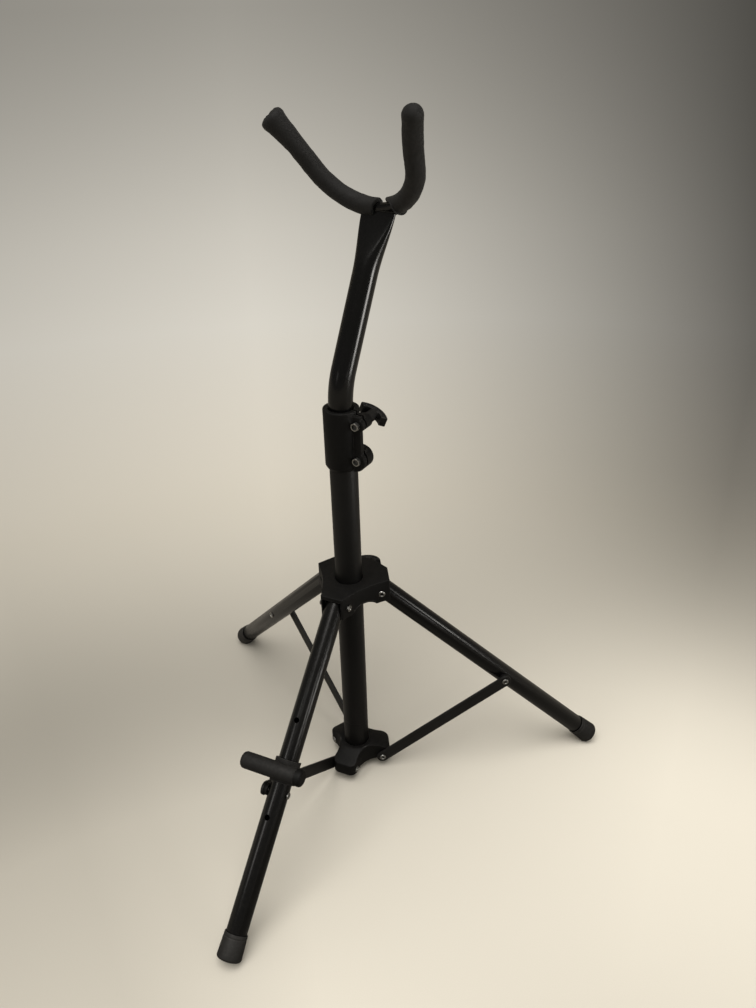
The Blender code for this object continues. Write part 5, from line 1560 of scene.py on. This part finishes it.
@dataclass(frozen=True)
class Studio:
    """The floor, the sweep behind it, the light and the camera."""

    eye: tuple[float, float, float] = (0.3753, -0.6442, 0.8398)
    azimuth: float = 115.13
    pitch: float = 29.851
    roll: float = -1.545
    lens: float = 31.14
    wall: float = 3.4
    sweep: float = 0.5
    wall_top: float = 3.0
    sun: Lamp = Lamp("sky", LampKind.SUN, (0.16, -0.52, 2.6), 1.9, 50.0)
    right_panel: Lamp = Lamp("right_panel", LampKind.PANEL, (2.2, 0.36, 0.60), 0.52, 0.90, 0.60, (0.0, 0.13, 0.62),
                             24.0)
    front_panel: Lamp = Lamp("front_panel", LampKind.PANEL, (-0.405, -0.93, 0.63), 0.08, 0.22, 0.55,
                             (0.0, -0.20, 0.07), 50.0)
    side_panel: Lamp = Lamp("side_panel", LampKind.PANEL, (2.04, -0.94, 0.62), 0.05, 0.30, 0.30,
                            (0.0, -0.15, 0.12), 24.0)

    def camera(self) -> None:
        """Puts the camera where the photograph was taken."""
        data = bpy.data.cameras.new("camera")
        data.lens = self.lens
        data.sensor_width = 36.0
        data.clip_start, data.clip_end = 0.01, 200.0
        azimuth, pitch, roll = (math.radians(v) for v in (self.azimuth, self.pitch, self.roll))
        forward = Vector((math.cos(pitch) * math.cos(azimuth), math.cos(pitch) * math.sin(azimuth), -math.sin(pitch)))
        right = forward.cross(Vector((0.0, 0.0, 1.0))).normalized()
        up = right.cross(forward)
        level = math.cos(roll) * right + math.sin(roll) * up
        upward = -math.sin(roll) * right + math.cos(roll) * up
        item = bpy.data.objects.new("camera", data)
        item.matrix_world = Matrix.Translation(self.eye) @ Matrix((level, upward, -forward)).transposed().to_4x4()
        bpy.context.scene.collection.objects.link(item)
        bpy.context.scene.camera = item

    def ramp(self, book: Nodes, value: NodeSocket, stops: Sequence[Point]) -> NodeSocket:
        """A smooth brightness curve.

        Args:
            book: the nodes that it joins.
            value: what it reads, from 0 to 1.
            stops: its places and levels.

        Returns:
            The level as a colour socket.
        """
        node = book.add("ValToRGB", {0: value})
        node.color_ramp.interpolation = "B_SPLINE"
        elements = node.color_ramp.elements
        for number, (spot, level) in enumerate(stops):
            element = elements[number] if number < 2 else elements.new(spot)
            element.position = spot
            element.color = (level, level, level, 1.0)
        return node.outputs[0]

    def paper(self) -> Material:
        """Warm pale paper, with painted light and shade: bright in front, a painted shadow band on the left and a
        painted fall of light to the right where the sweep rises; the far part glows to the camera, and reflections see
        a painted dark patch near the camera.

        Returns:
            The material of the floor and the sweep; it reads only places on them.
        """
        made = bpy.data.materials.new("studio_paper")
        made.use_nodes = True
        tree = made.node_tree
        book = Nodes(tree)
        shader = tree.nodes["Principled BSDF"]
        shader.inputs["Roughness"].default_value = 0.9
        shader.inputs["Specular IOR Level"].default_value = 0.1
        at = book.add("TexCoord").outputs["Object"]
        turn = math.radians(-self.azimuth)
        foot = Matrix.Rotation(turn, 3, "Z") @ Vector((self.eye[0], self.eye[1], 0.0))
        spun = book.add("Mapping", {"Vector": at, "Rotation": (0.0, 0.0, turn), "Location": -foot},
                        vector_type="POINT").outputs[0]
        parts = book.add("SeparateXYZ", {0: spun})
        level = book.add("Mapping", {"Vector": spun, "Scale": (1.0, 1.0, 0.0)}, vector_type="POINT").outputs[0]
        away = book.math("MAXIMUM", book.add("VectorMath", {0: level}, operation="LENGTH").outputs["Value"], 0.3)
        drop = book.math("DIVIDE", book.math("SUBTRACT", self.eye[2], parts.outputs["Z"]), book.math("MULTIPLY", away, 2.0))
        sideways = book.math("DIVIDE", parts.outputs["Y"], away)
        # Brightness by depth: the dip in the left curve is a painted shadow band, and the low far values on the right
        # are painted fall-off of light on the sweep.
        near_left = self.ramp(book, drop, ((0.0, 0.27), (0.11, 0.63), (0.25, 0.83), (0.34, 0.63), (0.43, 0.43),
                                           (0.54, 0.71), (0.85, 0.88)))
        near_right = self.ramp(book, drop, ((0.0, 0.03), (0.11, 0.07), (0.25, 0.20), (0.34, 0.37), (0.43, 0.92),
                                            (0.54, 1.00), (0.85, 0.80)))
        across = book.math("POWER", book.ranged(sideways, 0.14, -0.42, 0.0, 1.0), 1.35)
        tone = book.blend(across, near_left, near_right)
        # Painted fall-off of light towards the right side.
        edge = book.ranged(sideways, 0.14, 0.46, 1.0, 0.78)
        tone = book.add("Mix", {0: 1.0, 6: tone, 7: edge}, data_type="RGBA", blend_type="MULTIPLY").outputs[2]
        fibre = book.ranged(book.noise(at, 900.0, 4.0), 0.3, 0.7, 0.985, 1.015)
        tone = book.add("Mix", {0: 1.0, 6: tone, 7: fibre}, data_type="RGBA", blend_type="MULTIPLY").outputs[2]
        tone = book.add("Mix", {0: 1.0, 6: tone, 7: (1.0, 0.95, 0.84, 1.0)}, data_type="RGBA",
                        blend_type="MULTIPLY").outputs[2]
        # The far floor and the sweep glow with the painted tone for camera rays, though they are no lamp.
        raised = book.ranged(away, 1.5, 2.6, 0.0, 1.0)
        rays = book.add("LightPath").outputs
        seen = book.math("MULTIPLY", rays["Is Camera Ray"], raised)
        # Painted reflection: glossy rays see the floor dark near the camera's foot, as if shaded, and brighter further
        # off.
        shade = book.ranged(book.add("VectorMath", {0: spun, 1: (0.10, -0.10, 0.0)}, operation="DISTANCE").outputs["Value"],
                            0.35, 0.95, 0.08, 0.32)
        painted_reflection = book.blend(rays["Is Glossy Ray"], tone, book.blend(shade, grey(0.0), (1.0, 0.93, 0.82, 1.0)))
        base = book.blend(seen, painted_reflection, grey(0.0))
        book.feed(shader.inputs["Base Color"], base)
        book.feed(shader.inputs["Emission Color"], tone)
        book.feed(shader.inputs["Emission Strength"], book.math("MULTIPLY", seen, 1.0))
        return made

    def stage(self) -> None:
        """A broad plain floor, and a sweep that rises behind the stand."""
        paper = self.paper()
        sheet = Shape()
        bmesh.ops.create_grid(sheet.bm, x_segments=2, y_segments=2, size=60.0)
        floor = sheet.as_object("floor")
        curve = arc((self.wall - self.sweep, self.sweep), self.sweep, -UPRIGHT, 0.0, 33)
        sweep = Shape()
        verts = [sweep.bm.verts.new((radius, 0.0, height + 0.0005)) for radius, height in
                 curve + [(self.wall, self.wall_top)]]
        edges = [sweep.bm.edges.new(pair) for pair in zip(verts, verts[1:])]
        bmesh.ops.spin(sweep.bm, geom=verts + edges, cent=(0.0, 0.0, 0.0), axis=(0.0, 0.0, 1.0), dvec=(0.0, 0.0, 0.0),
                       angle=math.radians(110.0), steps=64, use_duplicate=False)
        sweep.placed(shift(x=self.eye[0], y=self.eye[1]) @ spin_z(self.azimuth - 55.0))
        backdrop = sweep.as_object("backdrop")
        backdrop.data.shade_smooth()
        for item in (floor, backdrop):
            item.data.materials.append(paper)

    def room(self) -> None:
        """The dim warm room that lights and mirrors evenly."""
        world = bpy.data.worlds.new("room")
        bpy.context.scene.world = world
        world.use_nodes = True
        book = Nodes(world.node_tree)
        back = world.node_tree.nodes["Background"]
        back.inputs["Color"].default_value = (1.0, 0.96, 0.88, 1.0)
        rays = book.add("LightPath")
        book.feed(back.inputs["Strength"], book.ranged(rays.outputs["Is Glossy Ray"], 0.0, 1.0, 0.42, 0.14))

    def build(self) -> None:
        """Makes the camera, stage and light."""
        self.camera()
        self.stage()
        self.room()
        for lamp in (self.sun, self.right_panel, self.front_panel, self.side_panel):
            lamp.build()
        bpy.context.scene.view_settings.view_transform = "Standard"


KEPT_NODES: dict[str, Finish] = {
    "column_plug": NYLON, "column_bush": NYLON, "tube_glide": NYLON, "hub_screw": ZINC,
    "leg_plug_front": PLASTIC, "leg_plug_right": PLASTIC, "leg_plug_left": PLASTIC,
    "peg_core": SATIN_COAT, "peg_pin": ZINC,
}


def dress_kept_nodes() -> None:
    """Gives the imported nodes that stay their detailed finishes."""
    for name, finish in KEPT_NODES.items():
        data = frame["nodes"][name].data
        data.materials.clear()
        data.materials.append(finish.material())
        log.info("%s keeps its packed shape", name)


def main() -> None:
    """Builds the scene in order: camera first, then each sub-assembly."""
    logging.basicConfig(level=logging.INFO, format="%(name)s: %(message)s")
    Studio().build()
    at = Layout()
    assemblies: list[Any] = [Column(), Hub(), Spider(), *(Leg(side) for side in Side), Clamp(), Upper(), BowRest()]
    for assembly in assemblies:
        assembly.build(at)
    dress_kept_nodes()


if __name__ == "__main__":
    main()
